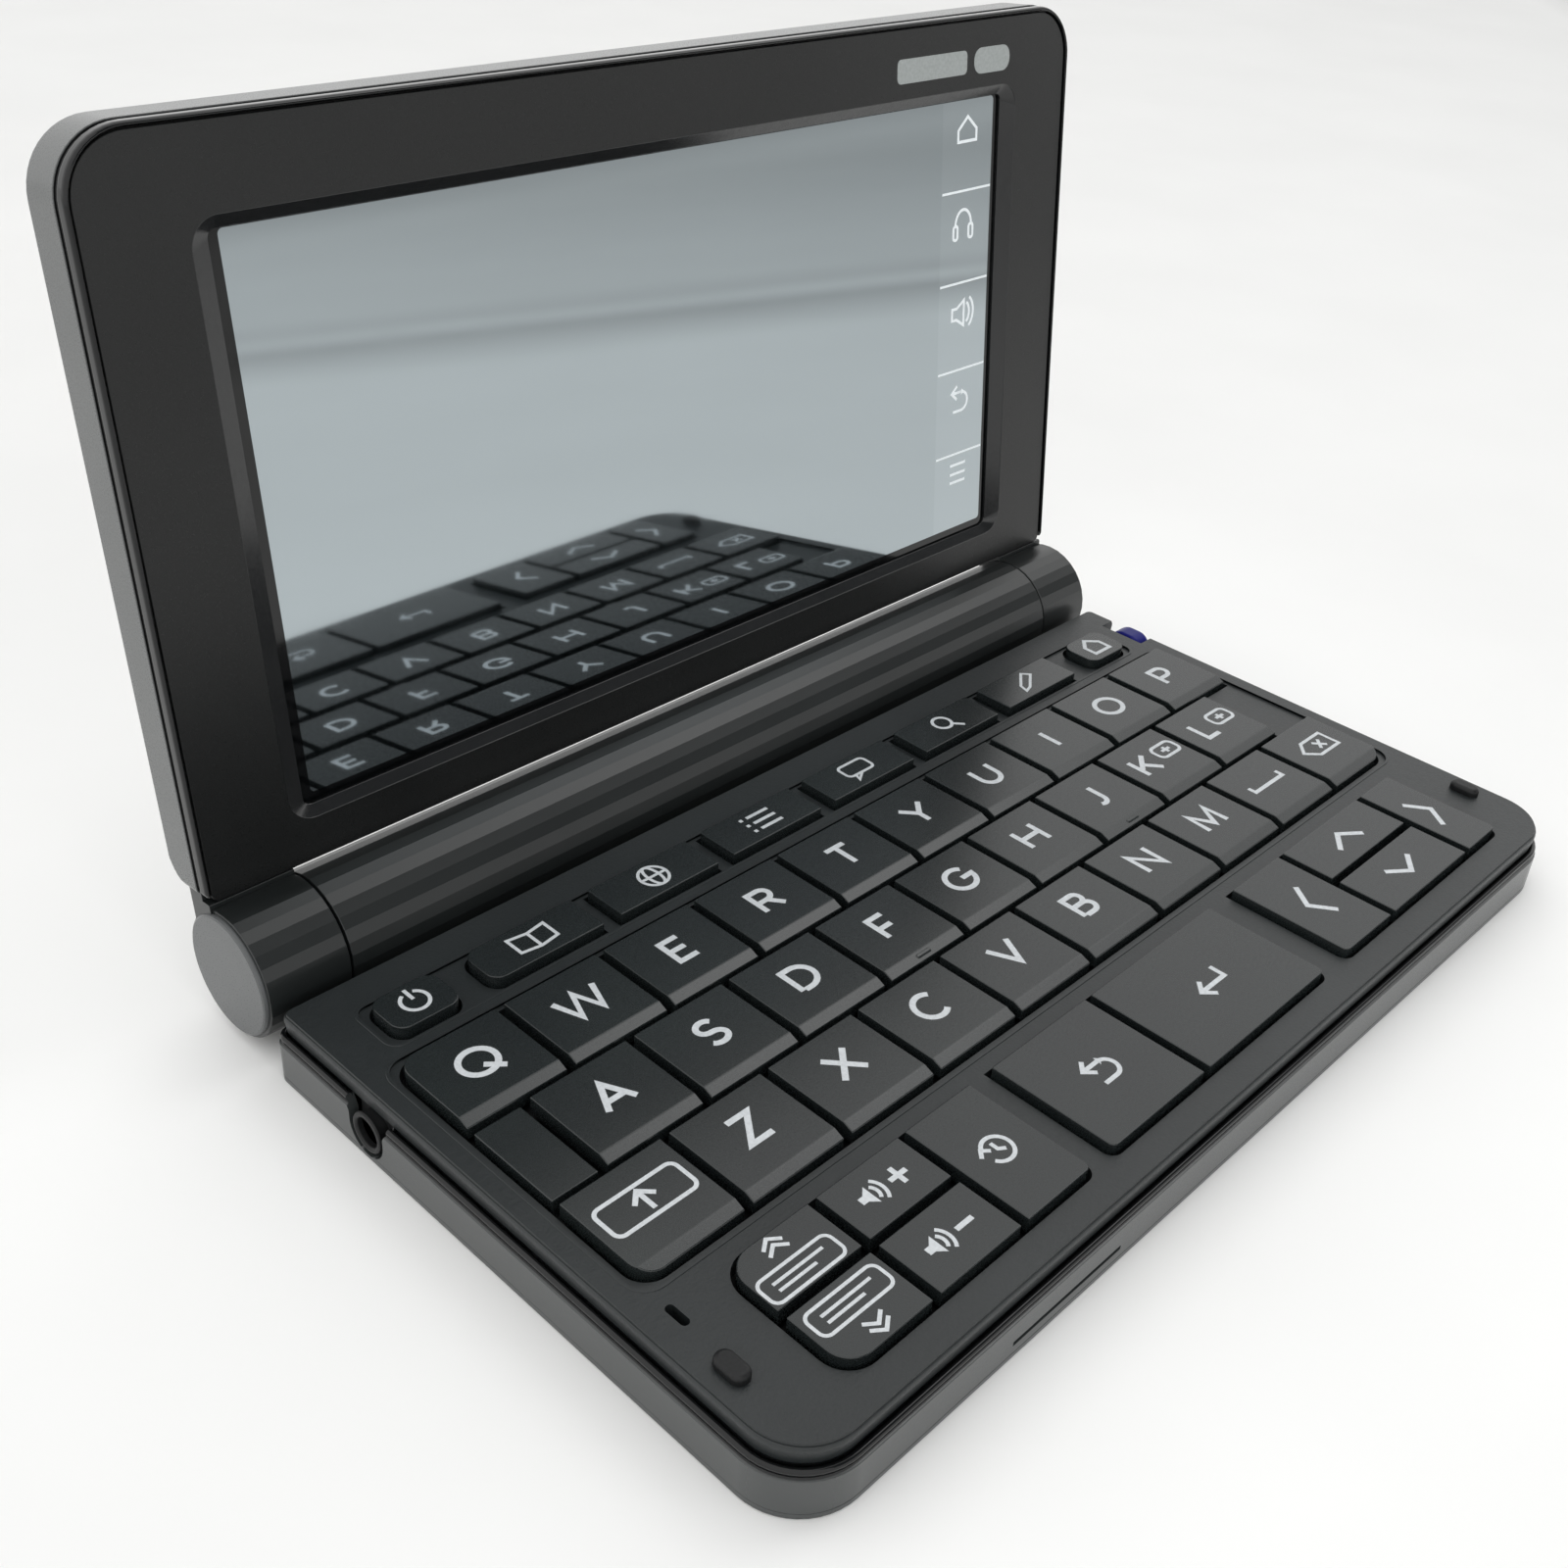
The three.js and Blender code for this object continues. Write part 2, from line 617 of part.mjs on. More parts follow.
function jackNotch() {
  const half = JACK_RING_RADIUS + JACK_NOTCH_MARGIN;
  const wide = half + JACK_NOTCH_FLARE;
  const [start, end] = [-HALF - CUT_PAST, -INNER_HALF + CUT_PAST];
  const bore = rod(JACK_RING_RADIUS + GAP, start, end, JACK_Y, JACK_Z);
  const mouth = outline([
    [JACK_Y - half, JACK_Z, 0],
    [JACK_Y + half, JACK_Z, 0],
    [JACK_Y + half, WALL_TOP - JACK_NOTCH_FLARE, 0],
    [JACK_Y + wide, WALL_TOP, 0],
    [JACK_Y + wide, RIM_TOP + CUT_PAST, 0],
    [JACK_Y - wide, RIM_TOP + CUT_PAST, 0],
    [JACK_Y - wide, WALL_TOP, 0],
    [JACK_Y - half, WALL_TOP - JACK_NOTCH_FLARE, 0],
  ]);
  return bore.add(bar(mouth, start, end));
}

function stylusNotch(low, high) {
  const half = STYLUS_HEAD_HALF_WIDTH + GAP;
  const [front, rear] = [STYLUS_HEAD_Y - half, STYLUS_HEAD_Y + half + STYLUS_NOTCH_SPARE];
  return block(STYLUS_HEAD_X - GAP, HALF + CUT_PAST, front, rear, low, high);
}

// An upright rib with a round seat that keeps the stylus in line
function cradleBlock(x, clearance, low, high) {
  const half = STYLUS_RADIUS + WALL + GAP + clearance;
  return block(x - clearance, x + CRADLE_WIDTH + clearance, STYLUS_Y - half, STYLUS_Y + half, low, high);
}

function cradle(x) {
  const rib = cradleBlock(x, 0, FOOT_HEIGHT + FLOOR / 2, STYLUS_Z);
  const [start, end] = [x - CUT_PAST, x + CRADLE_WIDTH + CUT_PAST];
  return rib.subtract(rod(STYLUS_RADIUS + GAP, start, end, STYLUS_Y, STYLUS_Z));
}

function speakerSlots() {
  return [-2, -1, 0, 1, 2].map((i) => {
    const y = SPEAKER_Y + i * SPEAKER_SLOT_PITCH;
    const half = SPEAKER_SLOT_WIDTH / 2;
    const [left, right] = [SPEAKER_X - SPEAKER_SLOT_LENGTH / 2, SPEAKER_X + SPEAKER_SLOT_LENGTH / 2];
    return block(left, right, y - half, y + half, FOOT_HEIGHT - CUT_PAST, FLOOR_TOP + CUT_PAST);
  });
}

function lowerCase() {
  const seat = FOOT_HEIGHT + FLOOR / 2;
  const inside = [cradle(CRADLE_NEAR_X), cradle(CRADLE_FAR_X)];
  const outside = [];
  const holes = [];
  for (const [x, y] of postPlaces()) {
    inside.push(post(POST_RADIUS, x, y, seat, DECK_UNDERSIDE - GAP, ROD_SIDES));
    holes.push(post(SCREW_RADIUS, x, y, FOOT_HEIGHT - CUT_PAST, DECK_UNDERSIDE));
    holes.push(post(SCREW_WELL_RADIUS, x, y, FOOT_HEIGHT - CUT_PAST, FOOT_HEIGHT + SCREW_WELL_DEPTH));
  }
  for (const x of [-POST_X / 2, 0, POST_X / 2]) {
    for (const y of [POST_FRONT_Y / 2, -POST_FRONT_Y / 2]) {
      inside.push(post(BOARD_STUD_RADIUS, x, y, seat, BOARD_UNDERSIDE - GAP));
    }
  }
  for (const x of [-HALF + FOOT_INSET_X, HALF - FOOT_INSET_X]) {
    for (const y of [CASE_FRONT + FOOT_INSET_FRONT, CASE_REAR - FOOT_INSET_REAR]) {
      outside.push(post(FOOT_RADIUS, x, y, 0, seat, ROD_SIDES));
    }
  }
  const slitEnd = LANYARD_SLIT_START + LANYARD_SLIT_LENGTH;
  const slitTop = LANYARD_SLIT_LOW + LANYARD_SLIT_HEIGHT;
  const [slitFront, slitRear] = [CASE_FRONT - CUT_PAST, INNER_FRONT + CUT_PAST];
  const slit = block(LANYARD_SLIT_START, slitEnd, slitFront, slitRear, LANYARD_SLIT_LOW, slitTop);
  const stylusFloor = STYLUS_Z - STYLUS_RADIUS - GAP;
  const tub = joined([caseShell().subtract(caseHollow()), saddle(), ...inside, ...outside]);
  const notches = [jackNotch(), stylusNotch(stylusFloor, RIM_TOP + CUT_PAST)];
  return cut(tub, [...holes, ...notches, slit, ...speakerSlots()]);
}

// The sunken block that the three letter rows share, with the deck's blank end left solid
function letterPocket() {
  const ten = LETTERS_HALF;
  const nine = LETTERS_HALF - KEY_PITCH / 2;
  const round = KEY_CORNER + KEY_GAP_X / 2;
  return outline([
    [-ten, LETTERS_END, round],
    [ten, LETTERS_END, round],
    [ten, LETTERS_FRONT, 0],
    [nine, LETTERS_FRONT, 0],
    [nine, LETTERS_MIDDLE, 0],
    [ten, LETTERS_MIDDLE, 0],
    [ten, LETTERS_REAR, 0],
    [-ten, LETTERS_REAR, round],
  ]);
}

// The fixed blank at the left of the second letter row
function island() {
  const start = -LETTERS_HALF;
  const [x0, x1] = [start + KEY_GAP_X / 2, start + KEY_PITCH / 2 - KEY_GAP_X / 2];
  const [y0, y1] = [LETTERS_FRONT + KEY_GAP_Y / 2, LETTERS_MIDDLE - KEY_GAP_Y / 2];
  return block(x0, x1, y0, y1, DECK_UNDERSIDE + DECK_PLATE / 2, ISLAND_TOP);
}

function clusterPockets() {
  const round = CLUSTER_CORNER + KEY_GAP_X / 2;
  const small = CLUSTER_SMALL_CORNER + KEY_GAP_X / 2;
  const pocket = (spanShares, radii) => {
    const [start, end] = groupEnds(spanShares);
    return panel(start, end, CLUSTER_FRONT, CLUSTER_REAR, radii);
  };
  return [
    pocket(LEFT_GROUP_SPAN_SHARES, [round, small, 0, round]),
    pocket(MIDDLE_GROUP_SPAN_SHARES, [small, small, 0, 0]),
    pocket(RIGHT_GROUP_SPAN_SHARES, [small, small, 0, 0]),
  ];
}

function topPockets() {
  return topKeys().map((key) => {
    const radii = key.radii.map((radius) => (radius ? radius + POCKET_GAP : 0));
    const [x0, x1] = [key.x0 - POCKET_GAP, key.x1 + POCKET_GAP];
    return panel(x0, x1, key.y0 - POCKET_GAP, key.y1 + POCKET_GAP, radii);
  });
}

function deckPlate() {
  const inset = DECK_INSET;
  const half = HALF - inset;
  const [front, rear] = [CASE_CORNER - inset, CASE_REAR_CORNER - inset];
  const corners = [front, front, rear, rear];
  const top = panel(-half, half, CASE_FRONT + inset, CASE_REAR - inset, corners);
  const height = DECK_SLAB + DECK_EDGE_DROP;
  const slope = rounded(top, height, DECK_EDGE_DROP, DECK_EDGE_REACH, 2, PLAN_STEPS);
  const upper = solid(slope.translate(0, 0, DECK_TOP - height));
  const under = block(-WIDTH, WIDTH, -WIDTH, WIDTH, 0, SLAB_LOW);
  const inner = INNER_HALF - GAP;
  const bodyRadius = CASE_CORNER - WALL - GAP;
  const radii = [bodyRadius, bodyRadius, 0, 0];
  const body = panel(-inner, inner, INNER_FRONT + GAP, INNER_REAR - GAP, radii);
  const lower = slab(body, DECK_UNDERSIDE, SLAB_LOW + DECK_SLAB / 2, PLAN_STEPS);
  return lower.add(upper.subtract(under));
}

function deckRecesses() {
  const reach = LETTERS_HALF + FIELD_MARGIN;
  const [low, high] = [LETTERS_END - FIELD_MARGIN, LETTERS_REAR + FIELD_MARGIN];
  const field = panel(-reach, reach, low, high, Array(4).fill(FIELD_CORNER));
  const [left, right] = [POWER_START - STRIP_OVERHANG, HOME_START + END_KEY_WIDTH + STRIP_OVERHANG];
  const strip = panel(left, right, STRIP_FRONT, STRIP_REAR, Array(4).fill(STRIP_CORNER));
  return [field, strip].map((shape) => slab(shape, DECK_TOP - FIELD_DEPTH, DECK_TOP + CUT_PAST));
}

function keyboardDeck() {
  const pockets = [letterPocket(), ...clusterPockets(), ...topPockets()];
  const sunken = pockets.map((shape) => slab(shape, POCKET_FLOOR, DECK_TOP + CUT_PAST));
  const [below, above] = [DECK_UNDERSIDE - CUT_PAST, DECK_TOP + CUT_PAST];
  const stemHoles = KEYS.map((key) => {
    const stem = stemOf(key);
    return post(stem.radius + GAP, stem.x, stem.y, below, POCKET_FLOOR + CUT_PAST);
  });
  const mic = slab(stadium(MIC_X, MIC_Y, MIC_WIDTH, MIC_LENGTH), below, above);
  const bumpers = [-BUMPER_X, BUMPER_X].map((x) => {
    const shape = stadium(x, BUMPER_Y, BUMPER_WIDTH, BUMPER_LENGTH);
    return slab(shape, DECK_TOP - BUMPER_RISE, DECK_TOP + BUMPER_RISE);
  });
  const plate = cut(deckPlate(), [...deckRecesses(), ...sunken]);
  return cut(joined([plate, island(), ...bumpers]), [...stemHoles, mic, stylusNotch(below, above)]);
}

function circuitBoard() {
  const half = INNER_HALF - BOARD_MARGIN;
  const front = INNER_FRONT + BOARD_MARGIN;
  const plan = panel(-half, half, front, BOARD_REAR, [BOARD_CORNER, BOARD_CORNER, 0, 0]);
  const [below, above] = [BOARD_UNDERSIDE - CUT_PAST, BOARD_TOP + CUT_PAST];
  const jackHalf = JACK_BODY_WIDTH / 2 + GAP;
  const jackEnd = -INNER_HALF + GAP + JACK_BODY_LENGTH + GAP;
  const stylusHalf = STYLUS_RADIUS + GAP;
  const stylusStart = STYLUS_TIP_X - GAP;
  const slots = [
    block(-WIDTH, jackEnd, JACK_Y - jackHalf, JACK_Y + jackHalf, below, above),
    block(stylusStart, WIDTH, STYLUS_Y - stylusHalf, STYLUS_Y + stylusHalf, below, above),
    stylusNotch(below, above),
    ...[CRADLE_NEAR_X, CRADLE_FAR_X].map((x) => cradleBlock(x, GAP, below, above)),
    ...postPlaces().map(([x, y]) => post(POST_RADIUS + GAP, x, y, below, above, ROD_SIDES)),
  ];
  const chipLow = BOARD_UNDERSIDE - CHIP_HEIGHT;
  const middle = BOARD_UNDERSIDE + BOARD_THICKNESS / 2;
  const [side, long, wide] = [PROCESSOR_SIDE / 2, MEMORY_LENGTH / 2, MEMORY_WIDTH / 2];
  const chips = [
    block(PROCESSOR_X - side, PROCESSOR_X + side, CHIP_Y - side, CHIP_Y + side, chipLow, middle),
    block(MEMORY_X - long, MEMORY_X + long, CHIP_Y - wide, CHIP_Y + wide, chipLow, middle),
  ];
  return joined([cut(slab(plan, BOARD_UNDERSIDE, BOARD_TOP), slots), ...chips]);
}

function headphoneJack() {
  const start = -INNER_HALF + GAP;
  const half = JACK_BODY_WIDTH / 2;
  const end = start + JACK_BODY_LENGTH;
  const body = block(start, end, JACK_Y - half, JACK_Y + half, JACK_BODY_LOW, JACK_BODY_TOP);
  const ring = rod(JACK_RING_RADIUS, -HALF, start + GAP, JACK_Y, JACK_Z);
  const hole = rod(JACK_HOLE_RADIUS, -HALF - CUT_PAST, -HALF + JACK_HOLE_DEPTH, JACK_Y, JACK_Z);
  return body.add(ring).subtract(hole);
}

function stylus() {
  const neck = STYLUS_TIP_X + STYLUS_TIP_LENGTH;
  const shaft = turned([
    [STYLUS_TIP_X, 0],
    [STYLUS_TIP_X, STYLUS_TIP_RADIUS],
    [neck, STYLUS_RADIUS],
    [STYLUS_HEAD_X + STYLUS_HEAD_ROUND, STYLUS_RADIUS],
    [STYLUS_HEAD_X + STYLUS_HEAD_ROUND, 0],
  ], STYLUS_Y, STYLUS_Z);
  const [wide, high] = [STYLUS_HEAD_HALF_WIDTH, STYLUS_HEAD_HALF_HEIGHT];
  const oval = panel(-wide, wide, -high, high, Array(4).fill(STYLUS_HEAD_CORNER));
  const round = STYLUS_HEAD_ROUND;
  const head = rounded(oval, STYLUS_HEAD_LENGTH, round, round, 2, PLAN_STEPS);
  head.rotateZ(Math.PI / 2).rotateY(Math.PI / 2).translate(STYLUS_HEAD_X, STYLUS_HEAD_Y, STYLUS_HEAD_Z);
  return shaft.add(solid(head));
}

// A part of a ring around the hinge axis, between two angles from the rear
function ringSector(inner, outer, fromDegrees, toDegrees) {
  const [from, to] = [fromDegrees, toDegrees].map(THREE.MathUtils.degToRad);
  const shape = new THREE.Shape();
  shape.absarc(HINGE_Y, HINGE_Z, outer, from, to, false);
  shape.absarc(HINGE_Y, HINGE_Z, inner, to, from, true);
  shape.closePath();
  return shape;
}

function hingeBarrel() {
  const tube = rod(BARREL_RADIUS, -BARREL_HALF, BARREL_HALF, HINGE_Y, HINGE_Z, BARREL_SIDES);
  const bay = rod(BAY_RADIUS, -BAY_HALF, BAY_HALF, HINGE_Y, HINGE_Z, BARREL_SIDES);
  const opening = ringSector(STUB_RADIUS, BARREL_RADIUS + CUT_PAST, DOOR_FROM_DEGREES, DOOR_TO_DEGREES);
  const shaftBore = rod(SHAFT_RADIUS + GAP, SHAFT_INNER_END - GAP, BARREL_HALF + CUT_PAST, HINGE_Y, HINGE_Z);
  const collarEnd = SHAFT_COLLAR_X + SHAFT_COLLAR_WIDTH;
  const collarBore = rod(SHAFT_COLLAR_RADIUS + GAP, SHAFT_COLLAR_X - GAP, collarEnd + GAP, HINGE_Y, HINGE_Z);
  const hollow = cut(tube, [bay, bar(opening, -DOOR_HALF, DOOR_HALF, DOOR_STEPS), shaftBore, collarBore]);
  const ribOuter = BAY_RADIUS + WALL / 2;
  const ribShape = ringSector(CRADLE_RIB_RADIUS, ribOuter, -DOOR_TO_DEGREES, 360 + DOOR_FROM_DEGREES);
  const ribs = [-1, 0, 1].map((i) => {
    const middle = i * CRADLE_RIB_PITCH;
    return bar(ribShape, middle - CRADLE_RIB_WIDTH / 2, middle + CRADLE_RIB_WIDTH / 2, RIB_STEPS);
  });
  const stub = rod(STUB_RADIUS, -BARREL_HALF - STUB_LENGTH, -BARREL_HALF + WALL, HINGE_Y, HINGE_Z);
  return joined([hollow, ...ribs, stub]);
}

function batteryCover() {
  const turn = THREE.MathUtils.radToDeg(GAP / BARREL_RADIUS);
  const arc = ringSector(BAY_RADIUS, BARREL_RADIUS, DOOR_FROM_DEGREES + turn, DOOR_TO_DEGREES - turn);
  const shell = bar(arc, -DOOR_HALF + GAP, DOOR_HALF - GAP, DOOR_STEPS);
  const grip = BARREL_RADIUS - DOOR_GRIP_DEPTH;
  const [low, high] = [DOOR_FROM_DEGREES * 0.7, DOOR_FROM_DEGREES * 0.3];
  const grooveShape = ringSector(grip, BARREL_RADIUS + CUT_PAST, low, high);
  const grooves = [0, 1, 2, 3].map((i) => {
    const start = DOOR_GRIP_X - i * DOOR_GRIP_PITCH;
    return bar(grooveShape, start, start + DOOR_GRIP_WIDTH);
  });
  return cut(shell, grooves);
}

// Two cells in one line, the first one's nub against the second one's base
function batteryCells() {
  const total = 2 * (CELL_LENGTH + NUB_LENGTH);
  const steps = [[-total / 2, 0]];
  for (const start of [-total / 2, 0]) {
    const end = start + CELL_LENGTH;
    steps.push([start, CELL_RADIUS - CELL_EDGE], [start + CELL_EDGE, CELL_RADIUS]);
    steps.push([end - CELL_EDGE, CELL_RADIUS], [end, CELL_RADIUS - CELL_EDGE]);
    steps.push([end, NUB_RADIUS], [end + NUB_LENGTH, NUB_RADIUS]);
  }
  steps.push([total / 2, 0]);
  return turned(steps, HINGE_Y, HINGE_Z);
}

function frictionHinge() {
  const collarEnd = SHAFT_COLLAR_X + SHAFT_COLLAR_WIDTH;
  return turned([
    [SHAFT_INNER_END, 0],
    [SHAFT_INNER_END, SHAFT_RADIUS],
    [SHAFT_COLLAR_X, SHAFT_RADIUS],
    [SHAFT_COLLAR_X, SHAFT_COLLAR_RADIUS],
    [collarEnd, SHAFT_COLLAR_RADIUS],
    [collarEnd, SHAFT_RADIUS],
    [SHAFT_OUTER_END, SHAFT_RADIUS],
    [SHAFT_OUTER_END, 0],
  ], HINGE_Y, HINGE_Z);
}

// Lid pieces, in the lid's own frame

// A knuckle with a bevelled outer end and a blind bore in its inner end,
// whose flats line up with the barrel's when the lid stands open
function knuckle(side, boreRadius, boreDepth) {
  const end = HALF - KNUCKLE_BEVEL;
  const steps = [
    [side * KNUCKLE_START, 0],
    [side * KNUCKLE_START, BARREL_RADIUS],
    [side * end, BARREL_RADIUS],
    [side * HALF, BARREL_RADIUS - KNUCKLE_BEVEL],
    [side * HALF, 0],
  ];
  if (side < 0) steps.reverse();
  const round = turned(steps, 0, 0, BARREL_SIDES, -LID_TURN);
  const [near, far] = [side * (KNUCKLE_START - CUT_PAST), side * (KNUCKLE_START + boreDepth)];
  return round.subtract(rod(boreRadius, Math.min(near, far), Math.max(near, far), 0, 0));
}

// The arm that joins a knuckle to the lid's lower corner
function web(side) {
  const profile = outline([
    [WEB_LOW, WEB_BACK, 0],
    [WEB_HIGH, WEB_BACK, 0],
    [WEB_HIGH, BEZEL_BACK - GAP, 0],
    [WEB_STEP, BEZEL_BACK - GAP, 0],
    [WEB_STEP, WEB_FRONT, 0],
    [WEB_LOW, WEB_FRONT, 0],
  ]);
  const [near, far] = [side * KNUCKLE_START, side * HALF];
  return bar(profile, Math.min(near, far), Math.max(near, far));
}

function lidPlan(inset, radiusInset) {
  const high = LID_CORNER - radiusInset;
  const low = Math.max(LID_LOW_CORNER - radiusInset, 0);
  return panel(-HALF + inset, HALF - inset, LID_BOTTOM + inset, LID_TOP - inset, [low, low, high, high]);
}

function lidBackCover() {
  const side = outline([
    [LID_BOTTOM, LID_BACK, LID_HEEL_ROUND],
    [LID_TOP, LID_BACK, LID_BACK_ROUND],
    [LID_TOP, LID_SIDE_TOP, 0],
    [LID_BOTTOM, LID_SIDE_TOP, 0],
  ]);
  const plan = slab(lidPlan(0, 0), LID_BACK, LID_SIDE_TOP, PLAN_STEPS);
  const tray = plan.intersect(bar(side, -HALF - CUT_PAST, HALF + CUT_PAST));
  const bead = lidPlan(LID_BEAD_INSET, LID_BEAD_INSET);
  const within = LID_BEAD_INSET + LID_BEAD_WIDTH;
  const round = LID_CORNER - within;
  const seat = panel(-HALF + within, HALF - within, 0, LID_TOP - within, [0, 0, round, round]);
  const beadRoom = slab(seat, LID_LIP_TOP, LID_BEAD_TOP + CUT_PAST, PLAN_STEPS);
  const lip = slab(bead, LID_BACK + LID_HEEL_ROUND, LID_BEAD_TOP, PLAN_STEPS).subtract(beadRoom);
  const innerBack = LID_BACK + LID_BACK_WALL;
  const heel = LID_HEEL_ROUND - LID_BACK_WALL;
  const inner = outline([
    [LID_BOTTOM + WALL, innerBack, heel],
    [LID_TOP - WALL, innerBack, 0],
    [LID_TOP - WALL, LID_BEAD_TOP + CUT_PAST, 0],
    [LID_BOTTOM + WALL, LID_BEAD_TOP + CUT_PAST, 0],
  ]);
  const room = slab(lidPlan(WALL, WALL), innerBack, LID_BEAD_TOP + CUT_PAST, PLAN_STEPS);
  const shell = tray.add(lip).subtract(room.intersect(bar(inner, -HALF, HALF)));
  const inside = [];
  for (const x of [-LID_PAD_X, 0, LID_PAD_X]) {
    for (const v of [LID_POST_LOW + LID_PAD_RADIUS, LID_POST_HIGH - LID_PAD_RADIUS]) {
      inside.push(post(LID_PAD_RADIUS, x, v, innerBack - LID_BACK_WALL / 2, SCREEN_BACK - GAP));
    }
  }
  for (const x of [-LID_POST_X, LID_POST_X]) {
    for (const v of [LID_POST_LOW, LID_POST_HIGH]) {
      inside.push(post(LID_PAD_RADIUS, x, v, innerBack - LID_BACK_WALL / 2, BEZEL_BACK - GAP));
    }
  }
  const left = knuckle(-1, STUB_RADIUS + GAP, STUB_LENGTH);
  const right = knuckle(1, SHAFT_RADIUS + GAP, SHAFT_OUTER_END - BARREL_HALF);
  return joined([shell, ...inside, web(-1), web(1), left, right]);
}

// A four-sided funnel: a sloped profile across the window, met by one up it
function windowFunnel() {
  const depth = BEZEL_FACE - BEZEL_BACK;
  const grow = (slope) => slope * CUT_PAST / depth;
  const [top, bottom] = [BEZEL_FACE + CUT_PAST, BEZEL_BACK - CUT_PAST];
  const side = WINDOW_SIDE_SLOPE;
  const across = outline([
    [-WINDOW_HALF - grow(side), top, 0],
    [-WINDOW_HALF + side + grow(side), bottom, 0],
    [WINDOW_HALF - side - grow(side), bottom, 0],
    [WINDOW_HALF + grow(side), top, 0],
  ]);
  const up = outline([
    [WINDOW_LOW - grow(WINDOW_LOW_SLOPE), top, 0],
    [WINDOW_LOW + WINDOW_LOW_SLOPE + grow(WINDOW_LOW_SLOPE), bottom, 0],
    [WINDOW_HIGH - WINDOW_HIGH_SLOPE - grow(WINDOW_HIGH_SLOPE), bottom, 0],
    [WINDOW_HIGH + grow(WINDOW_HIGH_SLOPE), top, 0],
  ]);
  const settings = { depth: LID_TOP, bevelEnabled: false };
  const sideways = new THREE.ExtrudeGeometry(across, settings).rotateX(Math.PI / 2).translate(0, LID_TOP, 0);
  return solid(sideways).intersect(bar(up, -HALF, HALF));
}

function lidBezel() {
  const half = BEZEL_HALF;
  const round = BEZEL_CORNER;
  const low = LID_LOW_CORNER;
  const flange = panel(-half, half, BEZEL_LOW, BEZEL_HIGH, [low, low, round, round]);
  const inset = WALL + GAP;
  const plan = lidPlan(inset, inset);
  const step = BEZEL_FACE - BEZEL_FLANGE;
  const body = slab(plan, BEZEL_BACK, step + BEZEL_FLANGE / 2, PLAN_STEPS);
  return body.add(slab(flange, step, BEZEL_FACE, PLAN_STEPS)).subtract(windowFunnel());
}

function touchScreen() {
  const [x, low, high] = [SCREEN_HALF, SCREEN_LOW, SCREEN_HIGH];
  const inset = SCREEN_MODULE_INSET;
  const glass = panel(-x, x, low, high, Array(4).fill(SCREEN_CORNER));
  const back = SCREEN_FACE - SCREEN_GLASS;
  const middle = SCREEN_FACE - SCREEN_GLASS / 2;
  const display = block(-x + inset, x - inset, low + inset, high - inset, SCREEN_BACK, middle);
  return slab(glass, back, SCREEN_FACE).add(display);
}

// Materials and scene graph

const COLOURS = {
  shell: { color: 0x3c3e40, roughness: 0.5, metalness: 0.0 },
  deck: { color: 0x232527, roughness: 0.55, metalness: 0.0 },
  key: { color: 0x1c1e20, roughness: 0.45, metalness: 0.0 },
  bezel: { color: 0x1b1c1e, roughness: 0.6, metalness: 0.0 },
  barrel: { color: 0x2a2c2e, roughness: 0.4, metalness: 0.0 },
  glass: { color: 0x8a949c, roughness: 0.08, metalness: 0.0 },
  blue: { color: 0x1b2c96, roughness: 0.35, metalness: 0.0 },
  steel: { color: 0xb9bcc0, roughness: 0.3, metalness: 1.0 },
  board: { color: 0x1d5a38, roughness: 0.6, metalness: 0.0 },
  cell: { color: 0x8d7b4a, roughness: 0.4, metalness: 0.6 },
};

function piece(name, body, look) {
  const mesh = new THREE.Mesh(surface(body), new THREE.MeshStandardMaterial(COLOURS[look]));
  mesh.name = name;
  return mesh;
}

function baseGroup() {
  const base = new THREE.Group();
  base.add(piece('lower_case', lowerCase(), 'shell'));
  base.add(piece('keyboard_deck', keyboardDeck(), 'deck'));
  base.add(piece('circuit_board', circuitBoard(), 'board'));
  base.add(piece('headphone_jack', headphoneJack(), 'key'));
  base.add(piece('stylus', stylus(), 'blue'));
  base.add(piece('hinge_barrel', hingeBarrel(), 'barrel'));
  base.add(piece('battery_cover', batteryCover(), 'barrel'));
  base.add(piece('battery_cells', batteryCells(), 'cell'));
  base.add(piece('friction_hinge', frictionHinge(), 'steel'));
  for (const key of KEYS) base.add(piece(key.name, keySolid(key), 'key'));
  return base;
}

function lidGroup() {
  const lid = new THREE.Group();
  lid.add(piece('lid_back_cover', lidBackCover(), 'shell'));
  lid.add(piece('lid_bezel', lidBezel(), 'bezel'));
  lid.add(piece('touch_screen', touchScreen(), 'glass'));
  lid.rotation.x = LID_TURN;
  lid.position.set(0, HINGE_Y, HINGE_Z);
  return lid;
}

// The object stands on z = 0, with its origin under the middle of its bounding box
function dictionary() {
  const whole = new THREE.Group();
  whole.add(baseGroup(), lidGroup());
  whole.updateMatrixWorld(true);
  const box = new THREE.Box3().setFromObject(whole, true);
  whole.position.y = -(box.min.y + box.max.y) / 2;
  return whole;
}

export default dictionary();
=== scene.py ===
import math

import bmesh
import bpy
from mathutils import Matrix, Vector


